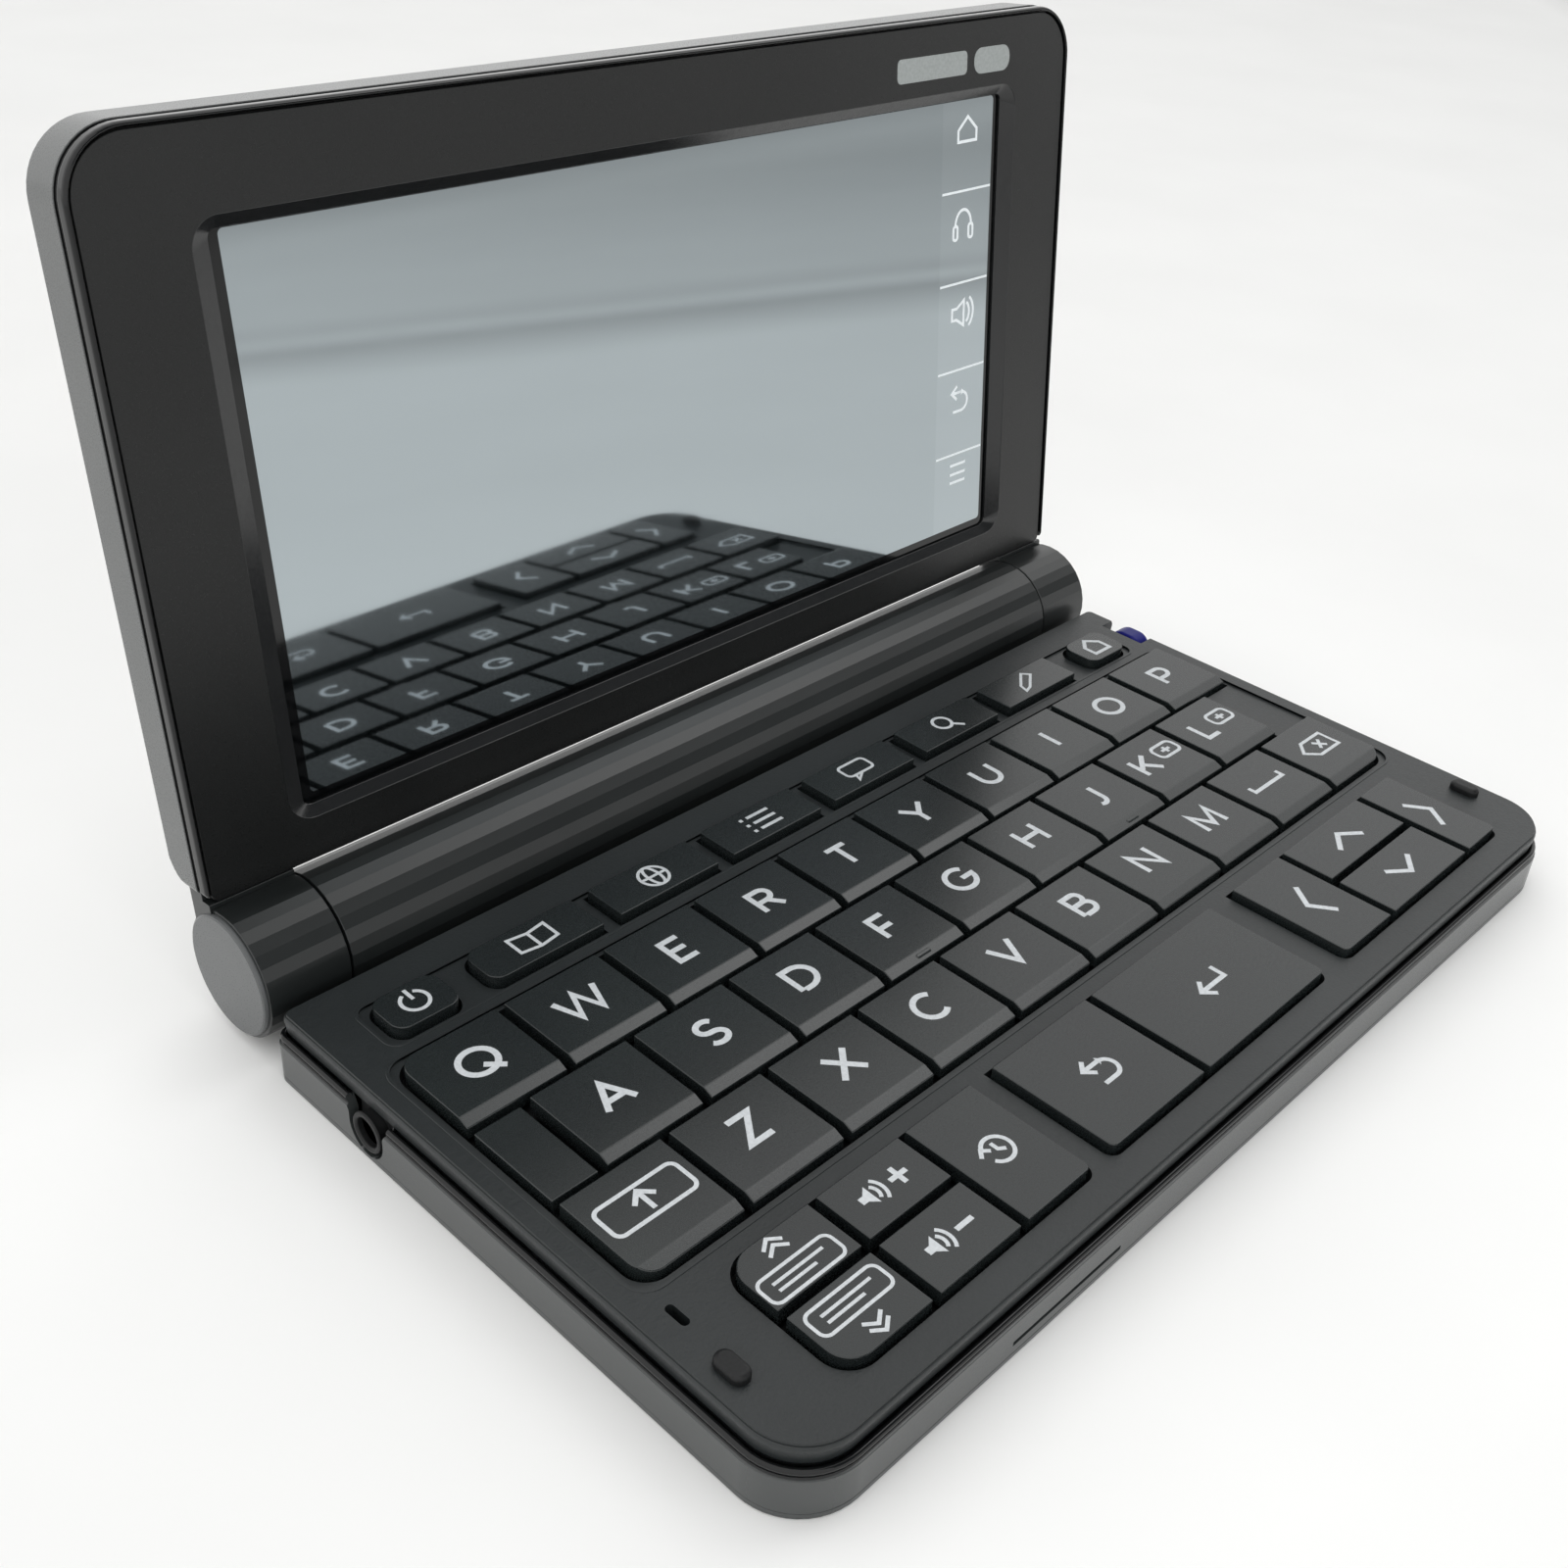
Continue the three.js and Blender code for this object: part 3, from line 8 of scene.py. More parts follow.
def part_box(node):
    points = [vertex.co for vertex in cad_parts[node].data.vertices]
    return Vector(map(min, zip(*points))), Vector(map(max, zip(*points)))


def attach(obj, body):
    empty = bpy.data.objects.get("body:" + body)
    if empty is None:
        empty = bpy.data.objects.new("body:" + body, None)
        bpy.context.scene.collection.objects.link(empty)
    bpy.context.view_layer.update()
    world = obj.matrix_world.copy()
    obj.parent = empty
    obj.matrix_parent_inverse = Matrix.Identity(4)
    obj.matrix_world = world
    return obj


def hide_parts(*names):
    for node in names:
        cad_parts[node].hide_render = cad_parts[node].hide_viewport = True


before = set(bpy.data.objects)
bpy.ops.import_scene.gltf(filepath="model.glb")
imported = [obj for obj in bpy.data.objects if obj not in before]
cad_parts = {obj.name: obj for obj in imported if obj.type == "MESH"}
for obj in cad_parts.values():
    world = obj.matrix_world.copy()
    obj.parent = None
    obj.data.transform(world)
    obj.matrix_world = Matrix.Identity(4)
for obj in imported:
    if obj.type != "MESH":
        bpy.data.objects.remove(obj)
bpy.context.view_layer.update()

# Shapes are drawn in millimetres. The base is drawn with x along the hinge, y to the rear and z up,
# with y = 0 at the middle of the keyboard's plan, and the lid in its own frame on the hinge axis:
# x along the hinge, y up the screen and z out of the screen's face.
MM = 0.001
CASE_FRONT = -44.6
CASE_REAR = 35.0
HINGE_Y = 43.4
HINGE_Z = 8.7
LID_TILT = math.radians(84)
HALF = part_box("lower_case")[1].x / MM
SHIFT_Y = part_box("lower_case")[0].y / MM - CASE_FRONT

BASE = Matrix.Translation((0, SHIFT_Y * MM, 0))
LID = Matrix.Translation((0, (SHIFT_Y + HINGE_Y) * MM, HINGE_Z * MM)) @ Matrix.Rotation(LID_TILT, 4, "X")

PLAN_STEPS = 12
ROUND_STEPS = 4
RODS = 64
FACETS = 32
PAST = 2.0

# Heights of the base
FOOT = 0.1
WALL = 1.2
FLOOR_TOP = 1.7
WALL_TOP = 5.2
RIM_TOP = 6.9
POCKET_FLOOR = 6.9
DECK_TOP = 8.9
FIELD_TOP = 8.65
KEY_UNDERSIDE = 7.9
KEY_TOP = 9.9
STEM_END = 5.3

# Heights of the lid's pieces out of the screen's face
LID_BACK = -8.6
LID_SIDE_TOP = -3.3
LID_LIP_TOP = -2.3
LID_BEAD_TOP = -1.3
BEZEL_FACE = -1.6
SCREEN_FACE = -3.0
LID_BOTTOM = 8.8
LID_TOP = 88.1
HEEL_ROUND = 4.5
BARREL_RADIUS = 7.8
KNUCKLE_START = 63.3
STRIP_START = 48.5


# Materials


def linear(red, green, blue):
    """A colour given as it looks on a screen, 0 to 255, as the linear values that shaders take."""
    parts = [value / 255 for value in (red, green, blue)]
    return (*[v / 12.92 if v <= 0.04045 else ((v + 0.055) / 1.055) ** 2.4 for v in parts], 1)


class Shader:
    """A Principled material and its node tree, with object coordinates ready to use."""

    def __init__(self, name, roughness=0.5, metallic=0.0, specular=0.5):
        self.material = bpy.data.materials.new(name)
        self.material.use_nodes = True
        self.tree = self.material.node_tree
        self.base = self.tree.nodes["Principled BSDF"]
        self.fill(self.base, {"Roughness": roughness, "Metallic": metallic, "Specular IOR Level": specular})
        self.place = self.node("ShaderNodeTexCoord").outputs["Object"]

    def node(self, kind, **settings):
        made = self.tree.nodes.new(kind)
        for key, value in settings.items():
            setattr(made, key, value)
        return made

    def link(self, start, end):
        self.tree.links.new(start, end)

    @staticmethod
    def fill(node, values):
        for socket, value in values.items():
            node.inputs[socket].default_value = value

    def noise(self, size, detail=2.0, roughness=0.5):
        """Noise whose features are about size millimetres across."""
        made = self.node("ShaderNodeTexNoise")
        self.fill(made, {"Scale": 1 / (size * MM), "Detail": detail, "Roughness": roughness})
        self.link(self.place, made.inputs["Vector"])
        return made.outputs["Fac"]

    def ramp(self, value, stops):
        """Turns a value into a colour between stops of (value, colour)."""
        made = self.node("ShaderNodeValToRGB")
        elements = made.color_ramp.elements
        while len(elements) < len(stops):
            elements.new(0.5)
        for element, (place, colour) in zip(elements, stops):
            element.position = place
            element.color = colour
        self.link(value, made.inputs["Fac"])
        return made.outputs["Color"]

    def spread(self, value, low, high, start=0.3, end=0.7):
        """Turns a value into a number between two."""
        made = self.node("ShaderNodeMapRange")
        self.fill(made, {"From Min": start, "From Max": end, "To Min": low, "To Max": high})
        self.link(value, made.inputs["Value"])
        return made.outputs["Result"]

    def colour(self, low, high, value, start=0.3, end=0.7):
        self.link(self.ramp(value, [(start, low), (end, high)]), self.base.inputs["Base Color"])

    def gloss(self, low, high, value):
        self.link(self.spread(value, low, high), self.base.inputs["Roughness"])

    def bump(self, heights, strength=0.5):
        """Bumps from a list of (value, height in millimetres)."""
        normal = None
        for value, height in heights:
            made = self.node("ShaderNodeBump")
            self.fill(made, {"Strength": strength, "Distance": height * MM})
            self.link(value, made.inputs["Height"])
            if normal is not None:
                self.link(normal, made.inputs["Normal"])
            normal = made.outputs["Normal"]
        self.link(normal, self.base.inputs["Normal"])


def plastic(name, dark, light, gloss, grain, height, specular=0.5):
    """Moulded plastic: a slow drift of colour, and a grain of the given size that varies gloss and height."""
    made = Shader(name, specular=specular)
    drift = made.noise(18, detail=3)
    fine = made.noise(grain, detail=2, roughness=0.6)
    made.colour(linear(*dark), linear(*light), drift)
    made.gloss(*gloss, fine)
    made.bump([(fine, height), (made.noise(grain * 4), height)])
    return made.material


def paint(name, dark, light, roughness):
    """Printed ink, with the slight unevenness of a screen print."""
    made = Shader(name, roughness=roughness, specular=0.3)
    made.colour(linear(*dark), linear(*light), made.noise(0.35, detail=3))
    made.bump([(made.noise(0.12), 0.01)])
    return made.material


def screen_glass():
    """Touch glass over a dark display: it mirrors the room, and its icon strip is a little paler."""
    made = Shader("screen_glass", metallic=1.0)
    split = made.node("ShaderNodeSeparateXYZ")
    made.link(made.place, split.inputs["Vector"])
    strip = made.spread(split.outputs["X"], 0, 1, STRIP_START * MM, (STRIP_START + 0.2) * MM)
    made.colour(linear(176, 185, 189), linear(181, 190, 194), strip, 0, 1)
    made.gloss(0.03, 0.045, made.noise(9, detail=3))
    made.bump([(made.noise(40), 0.01)], 0.2)
    return made.material


def make_materials():
    looks = {
        "shell": plastic("shell_plastic", (52, 55, 55), (58, 61, 61), (0.18, 0.26), 0.22, 0.005, 0.7),
        # lid: paler than the base's shell, in part a painted reflection of the bright room on the lid's walls
        "lid": plastic("lid_plastic_painted_sheen", (84, 86, 86), (91, 93, 93), (0.24, 0.34), 0.16, 0.005, 0.7),
        "bead": plastic("gloss_plastic", (13, 14, 15), (18, 19, 20), (0.1, 0.16), 0.5, 0.002, 0.4),
        "deck": plastic("deck_plastic", (28, 32, 33), (35, 39, 40), (0.36, 0.46), 0.3, 0.05, 0.5),
        # pocket: near black and dull, a painted shade for the gaps round the keys
        "pocket": plastic("pocket_plastic_painted_shade", (6, 6, 7), (9, 9, 10), (0.6, 0.75), 0.3, 0.01, 0.2),
        "key": plastic("key_plastic", (27, 31, 32), (32, 37, 37), (0.22, 0.3), 0.14, 0.004, 0.6),
        "bezel": plastic("bezel_plastic", (18, 19, 19), (23, 24, 24), (0.26, 0.36), 0.16, 0.006, 0.42),
        # chamfer: glossier than the bezel, and its slightly paler tone is a painted sheen on the window's
        # slope
        "chamfer": plastic("chamfer_plastic_painted_sheen", (22, 23, 24), (28, 29, 30), (0.14, 0.22), 0.6, 0.003, 0.6),
        "barrel": plastic("barrel_plastic", (24, 27, 27), (30, 33, 33), (0.3, 0.38), 0.18, 0.004, 0.6),
        "cap": plastic("cap_plastic", (78, 80, 81), (86, 88, 89), (0.26, 0.34), 0.2, 0.006),
        "rubber": plastic("rubber", (14, 15, 16), (20, 21, 22), (0.45, 0.6), 0.25, 0.012, 0.4),
        "blue": plastic("blue_plastic", (10, 14, 100), (16, 20, 122), (0.3, 0.4), 0.3, 0.004, 0.2),
        "ink": paint("legend_ink", (196, 200, 203), (214, 218, 221), 0.5),
        "plate": paint("plate_ink", (158, 163, 162), (172, 177, 176), 0.45),
        "icon": paint("screen_ink_painted_glow", (196, 202, 205), (208, 213, 216), 0.4),
        "glass": screen_glass(),
        "margin": plastic("margin_ink", (5, 6, 7), (8, 9, 10), (0.04, 0.08), 0.6, 0.001),
        "steel": plastic("steel", (150, 152, 155), (176, 178, 181), (0.25, 0.4), 0.5, 0.004),
        "board": plastic("board_lacquer", (18, 66, 40), (28, 88, 54), (0.3, 0.45), 0.8, 0.01),
        "cell": plastic("cell_wrap", (96, 84, 52), (128, 112, 70), (0.25, 0.4), 0.6, 0.006),
    }
    for look, socket, value in (
        ("steel", "Metallic", 1.0), ("cell", "Metallic", 0.6),
        # The screen's printed icons glow a little: a painted light that lifts the print above the glass.
        ("icon", "Emission Color", linear(214, 220, 221)), ("icon", "Emission Strength", 0.45),
    ):
        looks[look].node_tree.nodes["Principled BSDF"].inputs[socket].default_value = value
    return looks


LOOKS = make_materials()


# Outlines


def arc(x, y, radius_x, radius_y, start, end, steps=12):
    """Points of an elliptic arc, with its angles in degrees."""
    angles = [math.radians(start + (end - start) * i / steps) for i in range(steps + 1)]
    return [(x + radius_x * math.cos(a), y + radius_y * math.sin(a)) for a in angles]


def rectangle(x0, x1, y0, y1, radii, steps=PLAN_STEPS):
    """A rectangle with rounded corners in the order front left, front right, rear right, rear left."""
    places = [(x0, y0, 1, 1, 180), (x1, y0, -1, 1, 270), (x1, y1, -1, -1, 0), (x0, y1, 1, -1, 90)]
    points = []
    for (x, y, side_x, side_y, start), radius in zip(places, radii):
        if radius > 0:
            points += arc(x + side_x * radius, y + side_y * radius, radius, radius, start, start + 90, steps)
        else:
            points.append((x, y))
    return points


def grown(size, by):
    x0, x1, y0, y1 = size
    return x0 - by, x1 + by, y0 - by, y1 + by


def inset_rectangle(size, radii, inset, steps=PLAN_STEPS):
    kept = [max(radius - inset, 0.04) for radius in radii]
    return rectangle(*grown(size, -inset), kept, steps)


def quarter(inset, height, steps=ROUND_STEPS, rising=True):
    """Steps of (inset, rise) round a quarter of an ellipse, from the flat face to the side."""
    turns = [math.pi / 2 * i / steps for i in range(steps + 1)]
    if rising:
        return [(inset * (1 - math.sin(a)), height * (1 - math.cos(a))) for a in turns]
    return [(inset * (1 - math.cos(a)), height * math.sin(a)) for a in turns]


def above(height, steps, inward=0.0):
    """Steps of (inset, rise) as a profile of (inset, height)."""
    return [(inward + inset, height + rise) for inset, rise in steps]


# Solids, as bmesh in millimetres


def loft(rings, wrap=False, looks=None):
    """A solid through rings of as many points each. With wrap it closes on its first ring, and looks
    gives the material number of each band."""
    mesh = bmesh.new()
    rows = [[mesh.verts.new(point) for point in ring] for ring in rings]
    count = len(rows)
    for i in range(count if wrap else count - 1):
        low, high = rows[i], rows[(i + 1) % count]
        for j in range(len(low)):
            k = (j + 1) % len(low)
            face = mesh.faces.new((low[j], low[k], high[k], high[j]))
            face.material_index = looks[i] if looks else 0
    if not wrap:
        mesh.faces.new(list(reversed(rows[0])))
        mesh.faces.new(rows[-1])
    bmesh.ops.recalc_face_normals(mesh, faces=mesh.faces)
    return mesh


def level(outline, height):
    return [(x, y, height) for x, y in outline]


def stepped(size, radii, profile, steps=PLAN_STEPS):
    """Level rings of a rectangle drawn in by a profile of (inset, height)."""
    return [level(inset_rectangle(size, radii, inset, steps), height) for inset, height in profile]


def prism(outline, low, high):
    return loft([level(outline, low), level(outline, high)])


def along_x(outline, start, end):
    """A profile drawn in y and z, run along x."""
    return loft([[(x, y, z) for y, z in outline] for x in (start, end)])


def turned(profile, y, z, sides=RODS):
    """A round solid along x through a profile of (x, radius)."""
    rings = []
    for x, radius in profile:
        rings.append([(x, y + a, z + b) for a, b in arc(0, 0, radius, radius, 0, 360, sides)[:-1]])
    return loft(rings)


def upright(profile, x, y, sides=RODS):
    """A round solid along z through a profile of (z, radius)."""
    return loft([level(arc(x, y, radius, radius, 0, 360, sides)[:-1], z) for z, radius in profile])


def box(x0, x1, y0, y1, z0, z1):
    return prism([(x0, y0), (x1, y0), (x1, y1), (x0, y1)], z0, z1)


def painted(mesh, look):
    """Gives every face of a mesh the same one of its piece's materials."""
    for face in mesh.faces:
        face.material_index = look
    return mesh


def merged(meshes):
    """Several solids in one mesh, without cutting them."""
    whole = bmesh.new()
    for mesh in meshes:
        data = bpy.data.meshes.new("part")
        mesh.to_mesh(data)
        mesh.free()
        whole.from_mesh(data)
        bpy.data.meshes.remove(data)
    return whole


SLOTS = 4


def placed(name, data):
    made = bpy.data.objects.new(name, data)
    bpy.context.scene.collection.objects.link(made)
    return made


def as_object(mesh, name="tool"):
    """Puts a mesh in the scene, with empty material slots that keep its faces' numbers."""
    data = bpy.data.meshes.new(name)
    mesh.to_mesh(data)
    mesh.free()
    for _ in range(SLOTS):
        data.materials.append(None)
    return placed(name, data)


def modify(target, kind, **settings):
    """Puts a modifier on an object and applies it to the mesh."""
    change = target.modifiers.new(kind.lower(), kind)
    for key, value in settings.items():
        setattr(change, key, value)
    bpy.context.view_layer.update()
    depsgraph = bpy.context.evaluated_depsgraph_get()
    data = bpy.data.meshes.new_from_object(target.evaluated_get(depsgraph), depsgraph=depsgraph)
    target.modifiers.clear()
    old = target.data
    target.data = data
    bpy.data.meshes.remove(old)


def carve(mesh, cutters):
    """Cuts solids that don't touch each other out of a mesh, and returns the mesh that is left."""
    target = as_object(mesh)
    tool = as_object(merged(cutters))
    modify(target, "BOOLEAN", object=tool, operation="DIFFERENCE", solver="EXACT")
    left = bmesh.new()
    left.from_mesh(target.data)
    for made in (target, tool):
        data = made.data
        bpy.data.objects.remove(made)
        bpy.data.meshes.remove(data)
    return left


def cad_copy(name):
    """A CAD node's shape as a mesh in the base's millimetres, with its flat faces whole."""
    mesh = bmesh.new()
    mesh.from_mesh(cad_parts[name].data)
    bmesh.ops.transform(mesh, matrix=Matrix.Scale(1 / MM, 4) @ BASE.inverted(), verts=mesh.verts)
    bmesh.ops.remove_doubles(mesh, verts=mesh.verts, dist=0.0005)
    bmesh.ops.dissolve_limit(mesh, angle_limit=math.radians(0.5), verts=mesh.verts, edges=mesh.edges)
    return painted(mesh, 0)


LARGE_FACE = 5
SQUARE_ON = 0.9999
BESIDE = 0.6


def flatten(data):
    """Shades large faces that lie square to an axis flat, and runs the small faces beside them into them.
    LARGE_FACE is in square millimetres, and SQUARE_ON and BESIDE are cosines between directions."""
    normals = [corner.vector.copy() for corner in data.corner_normals]
    large = set()
    for face in data.polygons:
        if face.area > LARGE_FACE and max(map(abs, face.normal)) > SQUARE_ON:
            large.add(face.index)
    met = {}
    for index in large:
        face = data.polygons[index]
        for corner in face.loop_indices:
            normals[corner] = face.normal.copy()
            met.setdefault(data.loops[corner].vertex_index, []).append(face.normal.copy())
    for face in data.polygons:
        if face.index not in large:
            for corner in face.loop_indices:
                for normal in met.get(data.loops[corner].vertex_index, ()):
                    if face.normal.dot(normal) > BESIDE:
                        normals[corner] = normal
    rims = {key for index in large for key in data.polygons[index].edge_keys}
    for edge in data.edges:
        if edge.key in rims:
            edge.use_edge_sharp = True
    data.normals_split_custom_set(normals)


def piece(name, mesh, looks, body, nodes=(), edge=0.0, edge_angle=40, smooth=35, segments=2):
    """Rounds a mesh's edges, shades it, and puts it on its body in the frame. A mesh on the lid is drawn in
    the lid's frame, and any other in the base's."""
    made = as_object(mesh, name)
    if edge:
        angle = math.radians(edge_angle)
        modify(
            made, "BEVEL", width=edge, segments=segments, limit_method="ANGLE", angle_limit=angle,
            use_clamp_overlap=True,
        )
    made.data.shade_smooth()
    made.data.set_sharp_from_angle(angle=math.radians(smooth))
    modify(made, "WEIGHTED_NORMAL", mode="FACE_AREA", weight=100, keep_sharp=True)
    flatten(made.data)
    made.data.name = name
    for i in reversed(range(len(looks), SLOTS)):
        made.data.materials.pop(index=i)
    for i, look in enumerate(looks):
        made.data.materials[i] = LOOKS[look]
    made.data.transform((LID if body == "lid" else BASE) @ Matrix.Scale(MM, 4))
    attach(made, body)
    if nodes:
        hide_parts(*nodes)
    return made


# Base

CASE_SIZE = (-HALF, HALF, CASE_FRONT, CASE_REAR)
CASE_RADII = (7.6, 7.6, 1.8, 1.8)
BOTTOM_ROUND = 0.1
PARTING_LINE = 0.79
JACK = (17.9, 3.5)
JACK_NOTCH = 2.95
JACK_FLARE = 0.6
STYLUS_HEAD = (25.3, 5.9)
STYLUS_AXIS = (24.8, 4.0)
STYLUS_NOTCH = (70.4, HALF + PAST, 22.1, 29.5)
STYLUS_NOTCH_FLOOR = 2.1
LANYARD_SLIT = (-45.0, -27.5, CASE_FRONT - PAST, CASE_FRONT + WALL + 0.5, 1.9, 2.5)
SCREW_PLACES = [(x, y) for x in (-66.0, 66.0) for y in (-38.0, 30.4)]
WELL_RADIUS = 2.0
WELL_TOP = 1.9
CROSS_HALF = 0.18
FOOT_PLACES = [(x, y) for x in (-56.0, 56.0) for y in (-36.6, 29.0)]
FOOT_RADIUS = 4.0
SPEAKER = (34.0, -12.0)
SPEAKER_PITCH = 2.6
SADDLE_HALF = 62
SADDLE_REAR = CASE_REAR + 4.0
SADDLE_FRONT = CASE_REAR - 0.8
GROOVE_LOW = (-4.4, -6.8)


def jack_notch():
    half, flare = JACK_NOTCH, JACK_FLARE
    y, z = JACK
    wide = half + flare
    side = [(half, z), (half, WALL_TOP - flare), (wide, WALL_TOP + flare), (wide, RIM_TOP + PAST)]
    mouth = [(y - a, b) for a, b in side] + [(y + a, b) for a, b in side[::-1]]
    under = arc(y, z, half, half, 360, 180, 16)[1:-1]
    return along_x(mouth + under, -HALF - PAST, -HALF + WALL + 0.2)


def lower_case():
    profile = above(FOOT, quarter(BOTTOM_ROUND, BOTTOM_ROUND, 4))
    profile += above(PARTING_LINE, [(0, -0.05), (0.1, 0), (0, 0.05)])
    profile += above(WALL_TOP, [(0, -0.12), (0.03, -0.03), (0.1, 0), (0.23, 0.04)])
    bead_start = len(profile) - 1
    profile += above(WALL_TOP, [(0.3, 0.14), (0.34, 0.26)])
    profile += arc(0.54, WALL_TOP + 0.72, -0.38, 0.38, -50, 170, 14)
    profile += [*above(WALL_TOP, [(0.95, 0.5), (1.0, 0.55)]), *above(RIM_TOP, [(1.02, -0.6), (WALL, -0.55)])]
    bead_end = len(profile) - 1
    rings = stepped(CASE_SIZE, CASE_RADII, [*profile, (WALL, FLOOR_TOP)])
    bands = [1 if bead_start <= i < bead_end else 0 for i in range(len(rings) - 1)]
    notch = box(*STYLUS_NOTCH, STYLUS_NOTCH_FLOOR, RIM_TOP + PAST)
    wells = [upright([(-PAST, WELL_RADIUS), (WELL_TOP, WELL_RADIUS)], x, y, 32) for x, y in SCREW_PLACES]
    slots = []
    for i in range(-2, 3):
        y = SPEAKER[1] + i * SPEAKER_PITCH
        shape = rectangle(SPEAKER[0] - 7, SPEAKER[0] + 7, y - 0.6, y + 0.6, [0.58] * 4, 5)
        slots.append(prism(shape, -PAST, FLOOR_TOP + PAST))
    tray = carve(loft(rings, looks=bands), [box(*LANYARD_SLIT), notch, jack_notch(), *wells, *slots])
    piece("case_tray", tray, ["shell", "bead"], "base", ["lower_case"], 0.1, 55)

    reach = BARREL_RADIUS + 0.3
    drop = WALL_TOP - HINGE_Z
    groove_low = math.degrees(math.atan2(GROOVE_LOW[1], GROOVE_LOW[0]))
    groove_high = math.degrees(math.atan2(drop, -math.sqrt(reach**2 - drop**2)))
    groove = arc(HINGE_Y, HINGE_Z, reach, reach, groove_low, groove_high, 10)
    heel = arc(SADDLE_REAR - 1.0, FOOT + 1.0, 1.0, 1.0, -90, 0, 6)
    profile = [(SADDLE_FRONT, FOOT), *heel, *groove, (SADDLE_FRONT, WALL_TOP)]
    saddle = along_x(profile, -SADDLE_HALF, SADDLE_HALF)
    piece("case_saddle", saddle, ["shell"], "base", edge=0.2, edge_angle=50)

    steps = ((0, 0.15), (0.03, 0.05), (0.08, 0), (FOOT + 0.05, 0))
    profile = [(height, FOOT_RADIUS - inset) for height, inset in steps]
    feet = [upright(profile, x, y) for x, y in FOOT_PLACES]
    piece("case_feet", merged(feet), ["rubber"], "base")
    heads = []
    for x, y in SCREW_PLACES:
        head = upright([(1.15, 1.3), (1.2, 1.55), (1.45, 1.8), (1.88, 1.95)], x, y, 32)
        for wide, deep in ((0.9, CROSS_HALF), (CROSS_HALF, 0.9)):
            head = carve(head, [box(x - wide, x + wide, y - deep, y + deep, 0.5, 1.5)])
        heads.append(head)
    piece("case_screws", merged(heads), ["steel"], "base")


DECK_INSET = 0.25
DECK_SIZE = (-HALF + DECK_INSET, HALF - DECK_INSET, CASE_FRONT + DECK_INSET, CASE_REAR - DECK_INSET)
DECK_RADII = [radius - DECK_INSET for radius in CASE_RADII]
DECK_LOW = 6.45
LIP = 0.4
KEY_GAP_X = 1.2
KEY_GAP_Y = 1.0
LETTER_CORNER = 2.4
CLUSTER_CORNER = 3.0
SMALL_CORNER = 0.9
TOP_CORNER = 1.8
POCKET_GAP = 0.4
TOP_KEY_DEPTH = 6.2
TOP_KEY_TOP = 10.0
TOP_STEM_Y = 27.5
TOP_STEM_RADIUS = 0.75
STEM_RADIUS = 1.2
BLANK_TOP = 9.4
STRIP_Y = (21.5, 29.1)
MICROPHONE_SLOT = (-70.1, -69.1, -25.9, -23.0)
BUMPER_X = 70.2
BUMPER_Y = (-34.1, -30.1)
BUMPER_HALF = 1.1
POCKET_FLOOR_SIZE = (-71.6, 71.6, -42.2, 32.6)
LETTER_ROWS = ["qwertyuiop", "asdfghjkl", ["shift", *"zxcvbnm", "space", "delete"]]
CLUSTER_CORNERS = {
    "previous": (0, 0, 0, CLUSTER_CORNER), "next": (CLUSTER_CORNER, 0, 0, 0),
    "volume_up": (0, 0, 0, 0), "volume_down": (0, 0, 0, 0), "history": (0, SMALL_CORNER, 0, 0),
    "back": (SMALL_CORNER, 0, 0, 0), "enter": (0, SMALL_CORNER, 0, 0), "left": (SMALL_CORNER, 0, 0, 0),
    "up": (0, 0, 0, 0), "down": (0, 0, 0, 0), "right": (0, SMALL_CORNER, 0, 0),
}
CLUSTER_GROUPS = [("previous", "history"), ("back", "enter"), ("left", "right")]
TOP_KEYS = ["power", *[f"function_{i}" for i in range(1, 7)], "home"]


def key_size(name):
    """A key's plan from its CAD node: x0, x1, y0, y1."""
    low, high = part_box(f"key_{name}")
    size = [low.x / MM, high.x / MM, low.y / MM - SHIFT_Y, high.y / MM - SHIFT_Y]
    if name in TOP_KEYS:
        size[3] = size[2] + TOP_KEY_DEPTH
    return size


def top_radii(name):
    if name == "function_1":
        return [TOP_CORNER, 0, 0, TOP_CORNER]
    return [TOP_CORNER] * 4 if name in ("power", "home") else [0] * 4


def pocket_prism(outline):
    return prism(outline, POCKET_FLOOR - PAST, DECK_TOP + PAST)


def letter_pocket():
    """The sunken block of the three letter rows, which leaves the deck's blank at the right end."""
    q, p, ell = key_size("q"), key_size("p"), key_size("l")
    shift = key_size("shift")
    gap_x, gap_y = KEY_GAP_X / 2, KEY_GAP_Y / 2
    left, right, rear, front = q[0] - gap_x, p[1] + gap_x, q[3] + gap_y, shift[2] - gap_y
    nine, middle_rear, middle_front = ell[1] + gap_x, ell[3] + gap_y, ell[2] - gap_y
    radius = LETTER_CORNER + gap_x
    points = arc(left + radius, front + radius, radius, radius, 180, 270, 8)
    points += arc(right - radius, front + radius, radius, radius, 270, 360, 8)
    points += [(right, middle_front), (nine, middle_front), (nine, middle_rear), (right, middle_rear)]
    points.append((right, rear))
    points += arc(left + radius, rear - radius, radius, radius, 90, 180, 8)
    return points


